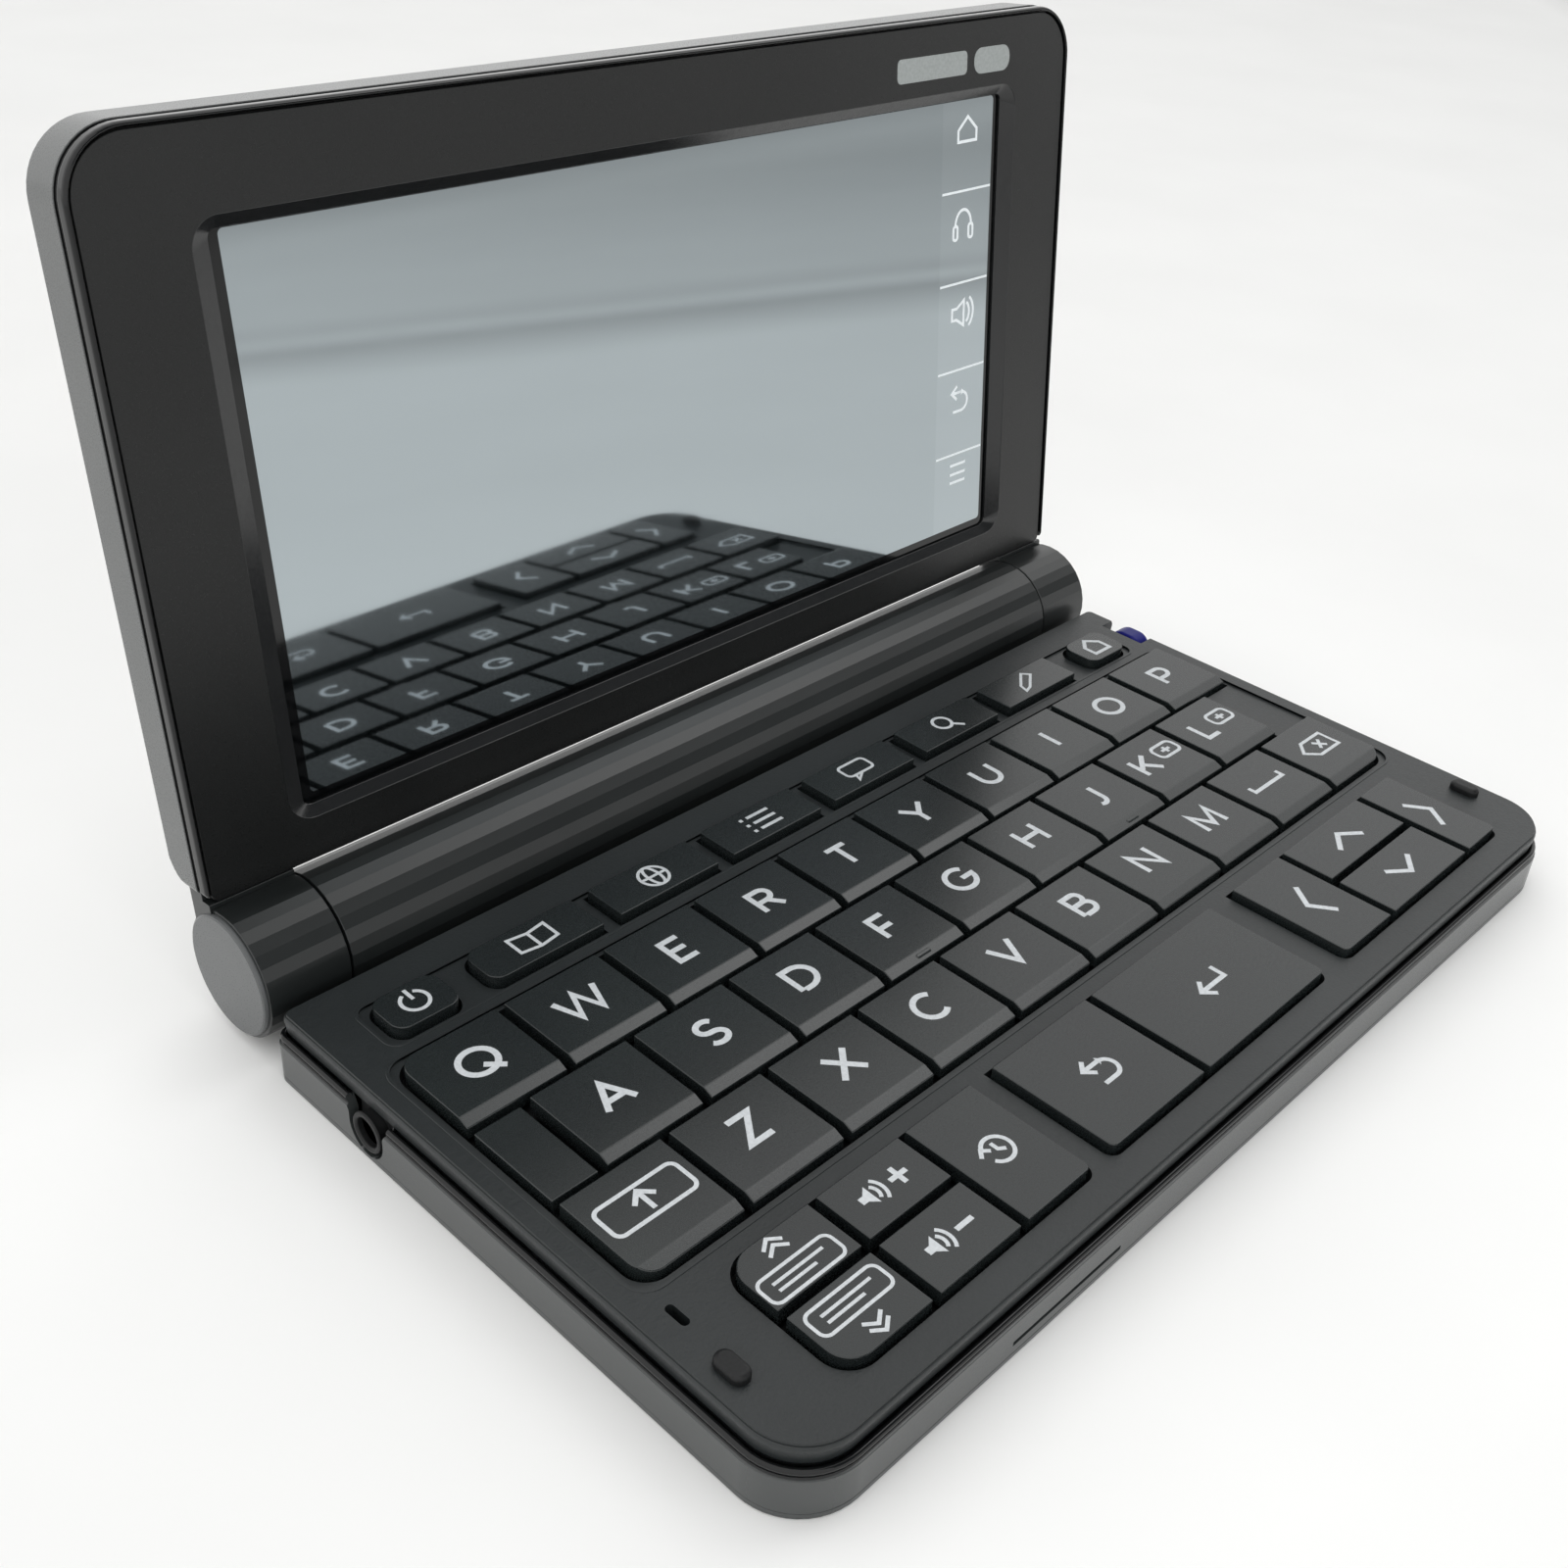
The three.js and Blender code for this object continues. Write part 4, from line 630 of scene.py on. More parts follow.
def keyboard_deck():
    steps = [(1.8, 0.05), (0.74, 0), (0.72, 0.03), (0.68, 0.4), (0.6, 0.9), (0.52, 1.35)]
    profile = [(1.8, POCKET_FLOOR - 0.3), *above(DECK_LOW, steps)]
    profile += above(DECK_LOW + 1.6, quarter(0.22, 0.55, 8, rising=False), 0.48)
    profile += above(DECK_TOP, [(0.71, -0.3), (0.75, -0.3), (0.78, -0.05), (0.82, 0)])
    slab = loft(stepped(DECK_SIZE, DECK_RADII, profile))
    q, shift, p = key_size("q"), key_size("shift"), key_size("p")
    margin = KEY_GAP_X / 2 + 0.55
    field = (q[0] - margin, p[1] + margin, shift[2] - margin + 0.1, q[3] + margin - 0.1)
    strip = (key_size("power")[0] - 1.2, key_size("home")[1] + 1.2, *STRIP_Y)
    lips = []
    for size, radius in ((field, 2.5), (strip, 1.5)):
        profile = above(DECK_TOP, [(0.0, -0.2), (0.0, 0.02), (0.06, 0.07), (0.2, 0.08)])
        lip = loft(stepped(grown(size, LIP), [radius + LIP] * 4, profile, 8))
        bed = rectangle(*size, [radius] * 4, 8)
        lips.append(carve(lip, [prism(bed, DECK_TOP - PAST, DECK_TOP + PAST)]))
        slab = carve(slab, [prism(bed, FIELD_TOP, DECK_TOP + PAST)])
    pockets = [pocket_prism(letter_pocket())]
    for first, last in CLUSTER_GROUPS:
        low, high = key_size(first), key_size(last)
        front, rear = min(low[2], high[2]), max(low[3], high[3])
        if first == "previous":
            front = key_size("next")[2]
        big, small = CLUSTER_CORNER + KEY_GAP_X / 2, SMALL_CORNER + KEY_GAP_X / 2
        radii = [big, small, 0, big] if first == "previous" else [small, small, 0, 0]
        size = (low[0] - KEY_GAP_X / 2, high[1] + KEY_GAP_X / 2, front - KEY_GAP_Y / 2, rear + KEY_GAP_Y / 2)
        pockets.append(pocket_prism(rectangle(*size, radii, 8)))
    for name in TOP_KEYS:
        radii = [radius + POCKET_GAP if radius else 0 for radius in top_radii(name)]
        pockets.append(pocket_prism(rectangle(*grown(key_size(name), POCKET_GAP), radii, 8)))
    pockets.append(pocket_prism(rectangle(*MICROPHONE_SLOT, [0.48] * 4, 5)))
    pockets.append(box(*STYLUS_NOTCH, 3, DECK_TOP + PAST))
    slab = carve(slab, pockets)
    piece("deck_plate", merged([slab, *lips]), ["deck"], "base", ["keyboard_deck"], 0.1, 50)

    # The floor under the pockets is painted near black as the shade seen down the key gaps.
    floor = prism(rectangle(*POCKET_FLOOR_SIZE, [5.0, 5.0, 0.5, 0.5], 6), POCKET_FLOOR - 0.6, POCKET_FLOOR)
    holes = []
    for name in [key for row in LETTER_ROWS for key in row] + [*CLUSTER_CORNERS, *TOP_KEYS]:
        x, y, radius = stem_place(name)
        holes.append(upright([(5, radius + 0.3), (8, radius + 0.3)], x, y, 12))
    holes.append(box(*STYLUS_NOTCH, 5, 8))
    piece("deck_pocket_floor", carve(floor, holes), ["pocket"], "base")

    beside, _, front, rear = key_size("a")
    size = (key_size("q")[0], beside - KEY_GAP_X, front, rear)
    island = prism(rectangle(*size, [0.2] * 4, 3), POCKET_FLOOR - 0.3, BLANK_TOP)
    piece("deck_blank", island, ["key"], "base", edge=0.15, segments=3)

    profile = [(0, DECK_TOP - 0.5), *above(DECK_TOP + 0.48, quarter(0.6, 0.6, 6, rising=False))]
    bumpers = []
    for x in (-BUMPER_X, BUMPER_X):
        size = (x - BUMPER_HALF, x + BUMPER_HALF, *BUMPER_Y)
        bumpers.append(loft(stepped(size, [BUMPER_HALF - 0.02] * 4, profile, 8)))
    piece("deck_bumpers", merged(bumpers), ["rubber"], "base")


def stem_place(name):
    x0, x1, y0, y1 = key_size(name)
    if name in TOP_KEYS:
        return (x0 + x1) / 2, TOP_STEM_Y, TOP_STEM_RADIUS
    return (x0 + x1) / 2, (y0 + y1) / 2, STEM_RADIUS


# Legends: each is a list of strokes round the middle of its key

STROKE = 0.74
ARROW = 0.72
CAP = 1.88
LEGEND_DROPS = (5.55, 5.2, 5.0)
MINUS = [(0.9, 0.1), (3.3, 0.1)]
WAVES = [arc(-2.1, 0.1, reach, reach, -45, 45, 8) for reach in (1.2, 2.0)]
LOUDSPEAKER = [(-3.3, -0.35), (-2.6, -0.35), (-1.7, -1.15), (-1.7, 1.35), (-2.6, 0.55), (-3.3, 0.55)]


def bowl(x, low, high, reach):
    """A letter's round side, from its top to its foot."""
    return arc(x, (low + high) / 2, reach, (high - low) / 2, 90, -90, 12)


LETTERS = {
    "a": [[(-1.85, -CAP), (0, CAP), (1.85, -CAP)], [(-1.15, -0.7), (1.15, -0.7)]],
    "b": [[(-1.35, -CAP), (-1.35, CAP), *bowl(0.35, 0.08, CAP, 0.9)],
          [(-1.0, 0.08), *bowl(0.45, -CAP, 0.08, 1.05), (-1.0, -CAP)]],
    "c": [arc(0, 0, 1.95, 1.95, 48, 312, 24)],
    "d": [[(-1.6, -CAP), (-1.6, CAP), *bowl(-0.3, -CAP, CAP, 2.05), (-1.25, -CAP)]],
    "e": [[(1.35, CAP), (-1.25, CAP), (-1.25, -CAP), (1.35, -CAP)], [(-0.9, 0.05), (1.05, 0.05)]],
    "f": [[(1.3, CAP), (-1.15, CAP), (-1.15, -CAP)], [(-0.8, -0.1), (1.0, -0.1)]],
    "g": [[*arc(0, 0, 2.05, 1.95, 45, 360, 26), (0.25, 0)]],
    "h": [[(-1.7, -CAP), (-1.7, CAP)], [(1.7, -CAP), (1.7, CAP)], [(-1.4, 0.05), (1.4, 0.05)]],
    "i": [[(0, -CAP), (0, CAP)]],
    "j": [[(0.75, CAP), *arc(-0.25, -0.85, 1.0, 1.05, 0, -125, 9)]],
    "k": [[(-1.5, -CAP), (-1.5, CAP)], [(1.6, CAP), (-1.2, -0.45)], [(-0.25, 0.35), (1.75, -CAP)]],
    "l": [[(-1.2, CAP), (-1.2, -CAP), (1.35, -CAP)]],
    "m": [[(-2.05, -CAP), (-1.85, CAP), (0, -1.3), (1.85, CAP), (2.05, -CAP)]],
    "n": [[(-1.65, -CAP), (-1.65, CAP), (1.65, -CAP), (1.65, CAP)]],
    "o": [arc(0, 0, 2.2, 1.98, 0, 360, 32)],
    "p": [[(-1.4, -CAP), (-1.4, CAP), *bowl(0.3, -0.35, CAP, 1.15), (-1.05, -0.35)]],
    "q": [arc(0, 0, 2.15, 1.98, 0, 360, 32), [(0.15, -0.7), (2.0, -2.3)]],
    "r": [[(-1.35, -CAP), (-1.35, CAP), *bowl(0.25, -0.1, CAP, 1.1), (-1.0, -0.1)],
          [(0.2, -0.1), (1.6, -CAP)]],
    "s": [[*arc(0.05, 0.95, 1.2, 0.95, 30, 270, 14), *arc(0.12, -0.95, 1.3, 0.95, 90, -150, 14)]],
    "t": [[(-1.6, CAP), (1.6, CAP)], [(0, CAP - 0.3), (0, -CAP)]],
    "u": [[(-1.65, CAP), *arc(0, -0.35, 1.65, 1.6, 180, 360, 16), (1.65, CAP)]],
    "v": [[(-1.8, CAP), (0, -CAP), (1.8, CAP)]],
    "w": [[(-2.75, CAP), (-1.45, -CAP), (0, CAP), (1.45, -CAP), (2.75, CAP)]],
    "x": [[(-1.75, -CAP), (1.65, CAP)], [(-1.65, CAP), (1.75, -CAP)]],
    "y": [[(-1.85, CAP), (0, -0.1), (1.85, CAP)], [(0, 0.1), (0, -CAP)]],
    "z": [[(-1.45, CAP), (1.4, CAP), (-1.5, -CAP), (1.5, -CAP)]],
}


def frame_strokes(x0, x1, y0, y1, radius):
    outline = rectangle(x0, x1, y0, y1, [radius] * 4, 6)
    return [*outline, outline[0]]


def chevrons(x, y, rise):
    return [[(x - 1.25, y - low - rise), (x, y - low), (x + 1.25, y - low - rise)] for low in (0, rise)]


# The marks of the keys that carry no letter, as (strokes, stroke width) in turn
MARKS = {
    "previous": [
        ([frame_strokes(-5.3, 4.2, -3.2, -0.1, 0.9)], 0.38), (chevrons(-0.5, 3.1, 0.95), 0.42),
        ([[(-3.9, -1.2), (2.7, -1.2)], [(-3.9, -2.1), (1.0, -2.1)]], 0.36),
    ],
    "next": [
        ([frame_strokes(-4.75, 4.75, -0.2, 2.9, 0.9)], 0.38), (chevrons(0, -3.2, -0.95), 0.42),
        ([[(-3.3, 1.8), (3.3, 1.8)], [(-3.3, 0.9), (1.6, 0.9)]], 0.36),
    ],
    "volume_up": [(WAVES, 0.42), ([MINUS, [(2.1, -1.1), (2.1, 1.3)]], 0.6)],
    "volume_down": [(WAVES, 0.42), ([MINUS], 0.6)],
    "history": [([
        arc(0, 0, 1.75, 1.75, 150, -150, 24), [(-2.3, 0.2), (-1.55, 1.0), (-0.75, 0.3)],
        [(0, 1.0), (0, 0), (0.75, -0.5)],
    ], 0.48)],
    "back": [([
        [(-1.6, 0.9), (0.9, 0.9), *arc(0.9, -0.45, 1.35, 1.35, 90, -90, 12), (-1.2, -1.8)],
        [(-0.5, 2.0), (-1.7, 0.9), (-0.5, -0.2)],
    ], 0.55)],
    "enter": [([[(2.4, 1.6), (2.4, -0.4), (-2.2, -0.4)], [(-0.9, 0.9), (-2.3, -0.4), (-0.9, -1.7)]], 0.6)],
    "left": [([[(1.25, 3.0), (-1.0, 0), (1.25, -3.0)]], ARROW)],
    "right": [([[(-1.25, 3.0), (1.0, 0), (-1.25, -3.0)]], ARROW)],
    "up": [([[(-2.95, -1.1), (0, 1.1), (2.95, -1.1)]], ARROW)],
    "down": [([[(-2.95, 1.1), (0, -1.1), (2.95, 1.1)]], ARROW)],
    "power": [([arc(0, 0.1, 1.6, 1.6, 115, 425, 28), [(0, 2.3), (0, 0.4)]], 0.45)],
    "home": [([[(-1.75, -1.6), (-1.75, 0.5), (0, 2.0), (1.75, 0.5), (1.75, -1.6), (-1.75, -1.6)]], 0.6)],
    "function_1": [([
        [(0, -1.5), (0, 1.3)],
        [(0, -1.5), (-2.6, -1.1), (-2.6, 1.7), (0, 1.3), (2.6, 1.7), (2.6, -1.1), (0, -1.5)],
    ], 0.42)],
    "function_2": [([
        arc(0, 0.1, 1.9, 1.9, 0, 360, 32), arc(0, 0.1, 0.8, 1.9, 0, 360, 24), [(-1.9, 0.1), (1.9, 0.1)],
    ], 0.4)],
    "function_3": [([
        [(x0, y), (x1, y)] for x0, x1 in ((-1.3, 2.4), (-2.5, -2.0)) for y in (1.5, 0.1, -1.3)
    ], 0.5)],
    "function_4": [([
        frame_strokes(-2.4, 2.4, -0.7, 1.9, 0.7), [(-1.3, -0.7), (-1.7, -1.8), (-0.1, -0.7)],
    ], 0.42)],
    "function_5": [([arc(-0.4, 0.5, 1.4, 1.4, 0, 360, 28), [(0.6, -0.5), (1.9, -1.8)]], 0.48)],
    "function_6": [([
        [(-2.1, -1.7), (-1.7, -0.3), (1.2, 2.0), (2.2, 1.0), (-0.8, -1.3), (-2.1, -1.7)],
    ], 0.42)],
}


def legend_of(name):
    """A key's printed mark round the key's middle, as (strokes, stroke width) in turn."""
    if name in MARKS:
        return MARKS[name]
    _, _, y0, y1 = key_size(name)
    edge = y1 - (y0 + y1) / 2
    if len(name) == 1:
        row = [name in letters for letters in LETTER_ROWS].index(True)
        rise = edge - LEGEND_DROPS[row]
        across = {"k": -2.35, "l": -1.95}.get(name, 0)
        marks = []
        if name in "kl":
            ball = 3.35 if name == "k" else 3.15
            marks = [frame_strokes(ball - 2.2, ball + 2.2, rise - 0.75, rise + 1.9, 0.9)]
            marks.append([(ball - 0.9, rise + 0.55), (ball + 0.9, rise + 0.55)])
            marks.append([(ball, rise - 0.1), (ball, rise + 1.2)])
        strokes = [[(x + across, y + rise) for x, y in stroke] for stroke in LETTERS[name]]
        return [(strokes, STROKE), (marks, 0.5)]
    rise = edge - 5.15
    if name == "shift":
        arrow = [(-1.35, rise + 0.05), (0, rise + 1.4), (1.35, rise + 0.05)]
        stem = [(0, rise - 1.4), (0, rise + 1.05)]
        return [([frame_strokes(-5.15, 5.15, rise - 2.1, rise + 2.1, 0.9)], 0.48), ([arrow, stem], 0.56)]
    if name == "space":
        return [([[(-3.4, rise + 0.4), (-3.4, rise - 0.8), (3.4, rise - 0.8), (3.4, rise + 0.4)]], 0.6)]
    tag = [(-1.5, rise + 1.7), (3.3, rise + 1.7), (3.3, rise - 1.7), (-1.5, rise - 1.7)]
    crosses = [[(0.0, rise - 0.8), (1.6, rise + 0.8)], [(0.0, rise + 0.8), (1.6, rise - 0.8)]]
    return [([[(-3.4, rise), *tag, (-3.4, rise)], *crosses], 0.5)]


def add_stroke(mesh, points, width, low, high, look):
    """A closed bar of the given width along points, with mitred corners."""
    points = [Vector(point) for point in points]
    closed = (points[0] - points[-1]).length < 1e-6
    if closed:
        points.pop()
    count = len(points)
    rows = []
    for i, point in enumerate(points):
        before = [(points[i - 1], point)] if closed or i else []
        after = [(point, points[(i + 1) % count])] if closed or i < count - 1 else []
        sides = [Vector((a.y - b.y, b.x - a.x)).normalized() for a, b in before + after]
        side = (sides[0] + sides[-1]).normalized()
        side *= width / 2 / max(side.dot(sides[0]), 0.45)
        corners = [(point + side, high), (point - side, high), (point - side, low), (point + side, low)]
        rows.append([mesh.verts.new((place.x, place.y, z)) for place, z in corners])
    for i in range(count if closed else count - 1):
        first, last = rows[i], rows[(i + 1) % count]
        for j in range(4):
            k = (j + 1) % 4
            mesh.faces.new((first[j], first[k], last[k], last[j])).material_index = look
    if not closed:
        for row in (rows[0], rows[-1]):
            mesh.faces.new(row).material_index = look


def add_fill(mesh, outline, low, high, look):
    rows = [[mesh.verts.new((x, y, z)) for x, y in outline] for z in (low, high)]
    for j in range(len(outline)):
        k = (j + 1) % len(outline)
        mesh.faces.new((rows[0][j], rows[0][k], rows[1][k], rows[1][j])).material_index = look
    for row in rows:
        mesh.faces.new(row).material_index = look


INK_RISE = 0.02


def print_legend(mesh, legend, fills, x, y, top, look=1):
    """Prints strokes and shapes on a level face. Each stroke is a hair higher than the last, so that no two
    share a face."""
    bars = [(stroke, width) for strokes, width in legend for stroke in strokes]
    for layer, (stroke, width) in enumerate(bars):
        height = top + INK_RISE + layer * 0.001
        add_stroke(mesh, [(x + a, y + b) for a, b in stroke], width, top - INK_RISE, height, look)
    for outline in fills:
        add_fill(mesh, [(x + a, y + b) for a, b in outline], top - INK_RISE, top + INK_RISE + 0.03, look)
    bmesh.ops.recalc_face_normals(mesh, faces=mesh.faces)


SLOPE_DEPTH = 1.35
SLOPE_DROP = 0.55
KEY_EDGE = 0.13


def key_cap(name, radii, top, sloped):
    x0, x1, y0, y1 = key_size(name)
    cap = prism(rectangle(x0, x1, y0, y1, radii, 8), KEY_UNDERSIDE, top)
    if sloped:
        normal = Vector((0, -SLOPE_DROP, SLOPE_DEPTH))
        done = bmesh.ops.bisect_plane(
            cap, geom=[*cap.verts, *cap.edges, *cap.faces], dist=1e-5,
            plane_co=(0, y0 + SLOPE_DEPTH, top), plane_no=normal, clear_outer=True,
        )
        rim = [item for item in done["geom_cut"] if isinstance(item, bmesh.types.BMEdge)]
        bmesh.ops.contextual_create(cap, geom=rim)
        bmesh.ops.recalc_face_normals(cap, faces=cap.faces)
    sharp = [e for e in cap.edges if len(e.link_faces) == 2 and e.calc_face_angle() > math.radians(20)]
    upper = [e for e in sharp if max(v.co.z for v in e.verts) > KEY_UNDERSIDE + 0.1]
    bmesh.ops.bevel(
        cap, geom=upper, offset=KEY_EDGE, segments=3, profile=0.5, affect="EDGES", clamp_overlap=True,
    )
    x, y, radius = stem_place(name)
    stem = upright([(STEM_END, radius), (KEY_UNDERSIDE + 0.3, radius)], x, y, 16)
    return merged([cap, stem])


def bump_bar(mesh, x, y, z):
    """The raised bar that a finger finds on the two home keys."""
    tilt = SLOPE_DROP / SLOPE_DEPTH
    rings = []
    for inset, rise in [(0, -0.2), (0, 0.0), (0.08, 0.1), (0.2, 0.16)]:
        shape = inset_rectangle((x - 1.25, x + 1.25, y - 0.28, y + 0.28), [0.27] * 4, inset, 5)
        rings.append([(a, b, z + rise + (b - y) * tilt) for a, b in shape])
    return merged([mesh, loft(rings)])


def one_key(name, radii, top, sloped):
    mesh = key_cap(name, radii, top, sloped)
    x0, x1, y0, y1 = key_size(name)
    x = (x0 + x1) / 2
    if name in "fj":
        mesh = bump_bar(mesh, x - 0.2, y0 + SLOPE_DEPTH * 0.55, top - SLOPE_DROP * 0.45)
    fills = [LOUDSPEAKER] if name in ("volume_up", "volume_down") else []
    print_legend(mesh, legend_of(name), fills, x, (y0 + y1) / 2, top)
    piece(f"cap_{name}", mesh, ["key", "ink"], f"key_{name}", [f"key_{name}"], smooth=30)


def keyboard():
    corners = {"q": (0, 0, 0, 1), "shift": (1, 0, 0, 0), "delete": (0, 1, 0, 0)}
    for row in LETTER_ROWS:
        for name in row:
            radii = [LETTER_CORNER * on for on in corners.get(name, (0, 0, 0, 0))]
            one_key(name, radii, KEY_TOP, True)
    for name, radii in CLUSTER_CORNERS.items():
        one_key(name, radii, KEY_TOP, False)
    for name in TOP_KEYS:
        one_key(name, top_radii(name), TOP_KEY_TOP, False)


def headphone_jack():
    y, z = JACK
    steps = [(1.0, 2.2), (0.25, 2.45), (0.06, 2.38), (0, 2.2), (0, 2.0), (0.1, 1.85)]
    ring = [(-HALF + inset, radius) for inset, radius in steps]
    hole = [(-HALF + 0.3, 1.75), (-60.5, 1.75), (-60.5, 0.01)]
    outer = [(-57.8, 0.01), (-57.8, 2.2)]
    solid = turned([*outer, *ring, *hole], y, z, 48)
    body = box(-72.5, -57.5, y - 2.8, y + 2.8, 2.0, 6.0)
    body = carve(body, [turned([(-74, 2.1), (-58.5, 2.1)], y, z, 32)])
    piece("jack_socket", merged([solid, body]), ["rubber"], "base", ["headphone_jack"])
    sleeve = turned([(-73.2, 1.74), (-72.4, 1.74), (-72.4, 1.5), (-73.2, 1.5), (-73.2, 1.74)], y, z, 48)
    piece("jack_contact", sleeve, ["steel"], "base")


def stylus():
    y, z = STYLUS_HEAD
    head = [(71.3 - rise, inset) for inset, rise in quarter(0.7, 0.6, 5, rising=False)[::-1]]
    head += [(HALF - 0.8 + rise, inset) for inset, rise in quarter(0.9, 0.8, 6, rising=False)]
    end = (y - 2.9, y + 2.9, z - 3.1, z + 3.1)
    rings = [[(x, a, b) for a, b in inset_rectangle(end, [2.2] * 4, inset, 10)] for x, inset in head]
    profile = [(9.0, 0.05), (9.0, 0.35), (9.2, 0.5), (15.0, 1.6), (71.3, 1.6), (71.3, 0.05)]
    rod = turned(profile, *STYLUS_AXIS, 48)
    piece("stylus_body", merged([loft(rings), rod]), ["blue"], "stylus", ["stylus"])


def barrel():
    for name, node, body in (
        ("barrel_tube", "hinge_barrel", "base"), ("barrel_door", "battery_cover", "battery_cover"),
    ):
        piece(name, cad_copy(node), ["barrel"], body, [node], 0.08, 40, 6)


# Lid

LID_SIZE = (-HALF, HALF, LID_BOTTOM, LID_TOP)
LID_RADII = (1.0, 1.0, 7.0, 7.0)
ARM = [(3.0, -5.5), (10.0, -5.5), (10.0, -3.0), (8.25, -3.0), (8.25, -1.75), (8.1, -1.6), (3.0, -1.6)]
BEZEL_SIZE = (-73.2, 73.2, 8.3, 87.3)
BEZEL_RADII = (1.0, 1.0, 6.2, 6.2)
PLATES = [((37.5, 51.6, 80.7, 83.7), 0.7), ((53.1, 60.7, 80.5, 83.8), 1.5)]
GLASS_SIZE = (-64, 64, 11.5, 81)
MODULE_SIZE = (-61, 61, 14.5, 78)
MARGIN_OUTSIDE = (-61.5, 61.5, 13.6, 78.4)
MARGIN_INSIDE = (-59.0, 59.3, 15.7, 77.2)


def heel_start(height):
    """How far the lid's lower edge is set back at a height, where its heel is rounded."""
    depth = LID_BACK + HEEL_ROUND - height
    if depth <= 0:
        return 0
    return HEEL_ROUND - math.sqrt(max(HEEL_ROUND**2 - depth**2, 0))


def lid_ring(inset, height, hollow=0.0):
    start = LID_BOTTOM + inset + heel_start(height - hollow)
    return [(x, max(y, start), height) for x, y in inset_rectangle(LID_SIZE, LID_RADII, inset)]


def lid_back_cover():
    profile = above(LID_BACK, quarter(0.3, 0.3, 4))
    profile += [(0, LID_BACK + 0.3 + HEEL_ROUND * i / 8) for i in range(1, 9)]
    profile += above(LID_SIDE_TOP, [(0, -0.1), (0.03, -0.02), (0.12, 0)])
    bead_start = len(profile) - 1
    steps = [(0.3, 0.03), (0.42, 0.12), (0.42, 0.3), (0.24, 0.42), (0.14, 0.6), (0.1, 0.9)]
    profile += above(LID_SIDE_TOP, steps)
    profile += above(LID_BEAD_TOP - 0.6, quarter(0.3, 0.6, 6, rising=False), 0.1)
    profile += above(LID_BEAD_TOP, [(0.48, -0.02), (0.57, -0.1), (0.6, -0.3)])
    profile += above(LID_LIP_TOP, [(0.61, -0.03), (0.9, -0.05)])
    outside = len(profile)
    rings = [lid_ring(inset, height) for inset, height in profile]
    rings += [lid_ring(1.2, height, 1.2) for height in (-2.4, -3.9, -4.5, -5.5, -6.5, -7.0, -7.4)]
    bands = [1 if bead_start <= i < outside else 0 for i in range(len(rings) - 1)]
    opening = box(-HALF + 0.62, HALF - 0.62, LID_BOTTOM - PAST, LID_BOTTOM + PAST, LID_LIP_TOP, 0)
    parts = [carve(loft(rings, looks=bands), [opening])]
    for side in (-1, 1):
        inner, outer = side * KNUCKLE_START, side * (HALF - 0.55)
        steps = [(inner, 7.0), (inner, 7.7), (inner + side * 0.1, BARREL_RADIUS)]
        steps += [(outer - side * 0.1, BARREL_RADIUS), (outer, BARREL_RADIUS - 0.12), (outer, 6.6)]
        drum = turned(steps, 0, 0, FACETS)
        bmesh.ops.rotate(drum, verts=drum.verts, matrix=Matrix.Rotation(-LID_TILT, 3, "X"))
        steps = [(1.0, 0.01), (1.0, 7.35), (0.4, 7.35), (0.12, 7.27), (0, 7.05), (0, 0.01)]
        cap = turned([(side * (HALF - inset), radius) for inset, radius in steps], 0, 0)
        arm = along_x(ARM, *sorted((inner, side * (HALF - 0.3))))
        parts += [painted(drum, 2), painted(cap, 3), painted(arm, 2)]
    looks = ["lid", "bead", "barrel", "cap"]
    piece("lid_shell", merged(parts), looks, "lid", ["lid_back_cover"], smooth=9)


def window_ring(grow, height, share):
    """A ring of the window's slope: share 0 is its outer edge and 1 its inner edge."""
    x = 62.5 - 2.2 * share + grow
    low = 13.4 + 1.1 * share - grow
    high = 78.7 - 1.3 * share + grow
    radius = 3.2 - 2.2 * share + grow
    return level(rectangle(-x, x, low, high, [radius] * 4), height)


def lid_bezel():
    steps = [(0, -0.6), (0, 0.22), *above(0.22, quarter(0.18, 0.18, 3, rising=False))]
    rings = stepped(BEZEL_SIZE, BEZEL_RADII, above(BEZEL_FACE - 0.4, steps))
    outer = len(rings)
    rings += [window_ring(grow, BEZEL_FACE - depth, 0) for grow, depth in ((0.1, 0), (0.03, 0.02), (0, 0.07))]
    rings += [window_ring(grow, height, 1) for grow, height in ((0, -2.6), (-0.06, -2.7), (-0.06, -2.96))]
    bands = [1 if outer <= i < outer + 5 else 0 for i in range(len(rings))]
    frame_mesh = loft(rings, wrap=True, looks=bands)
    piece("bezel_frame", frame_mesh, ["bezel", "chamfer"], "lid", ["lid_bezel"], smooth=25)

    profile = above(BEZEL_FACE, [(0, -0.05), (0, 0.03), (0.03, 0.05)])
    plates = [loft(stepped(size, [radius] * 4, profile, 6)) for size, radius in PLATES]
    piece("bezel_plates", merged(plates), ["plate"], "lid")


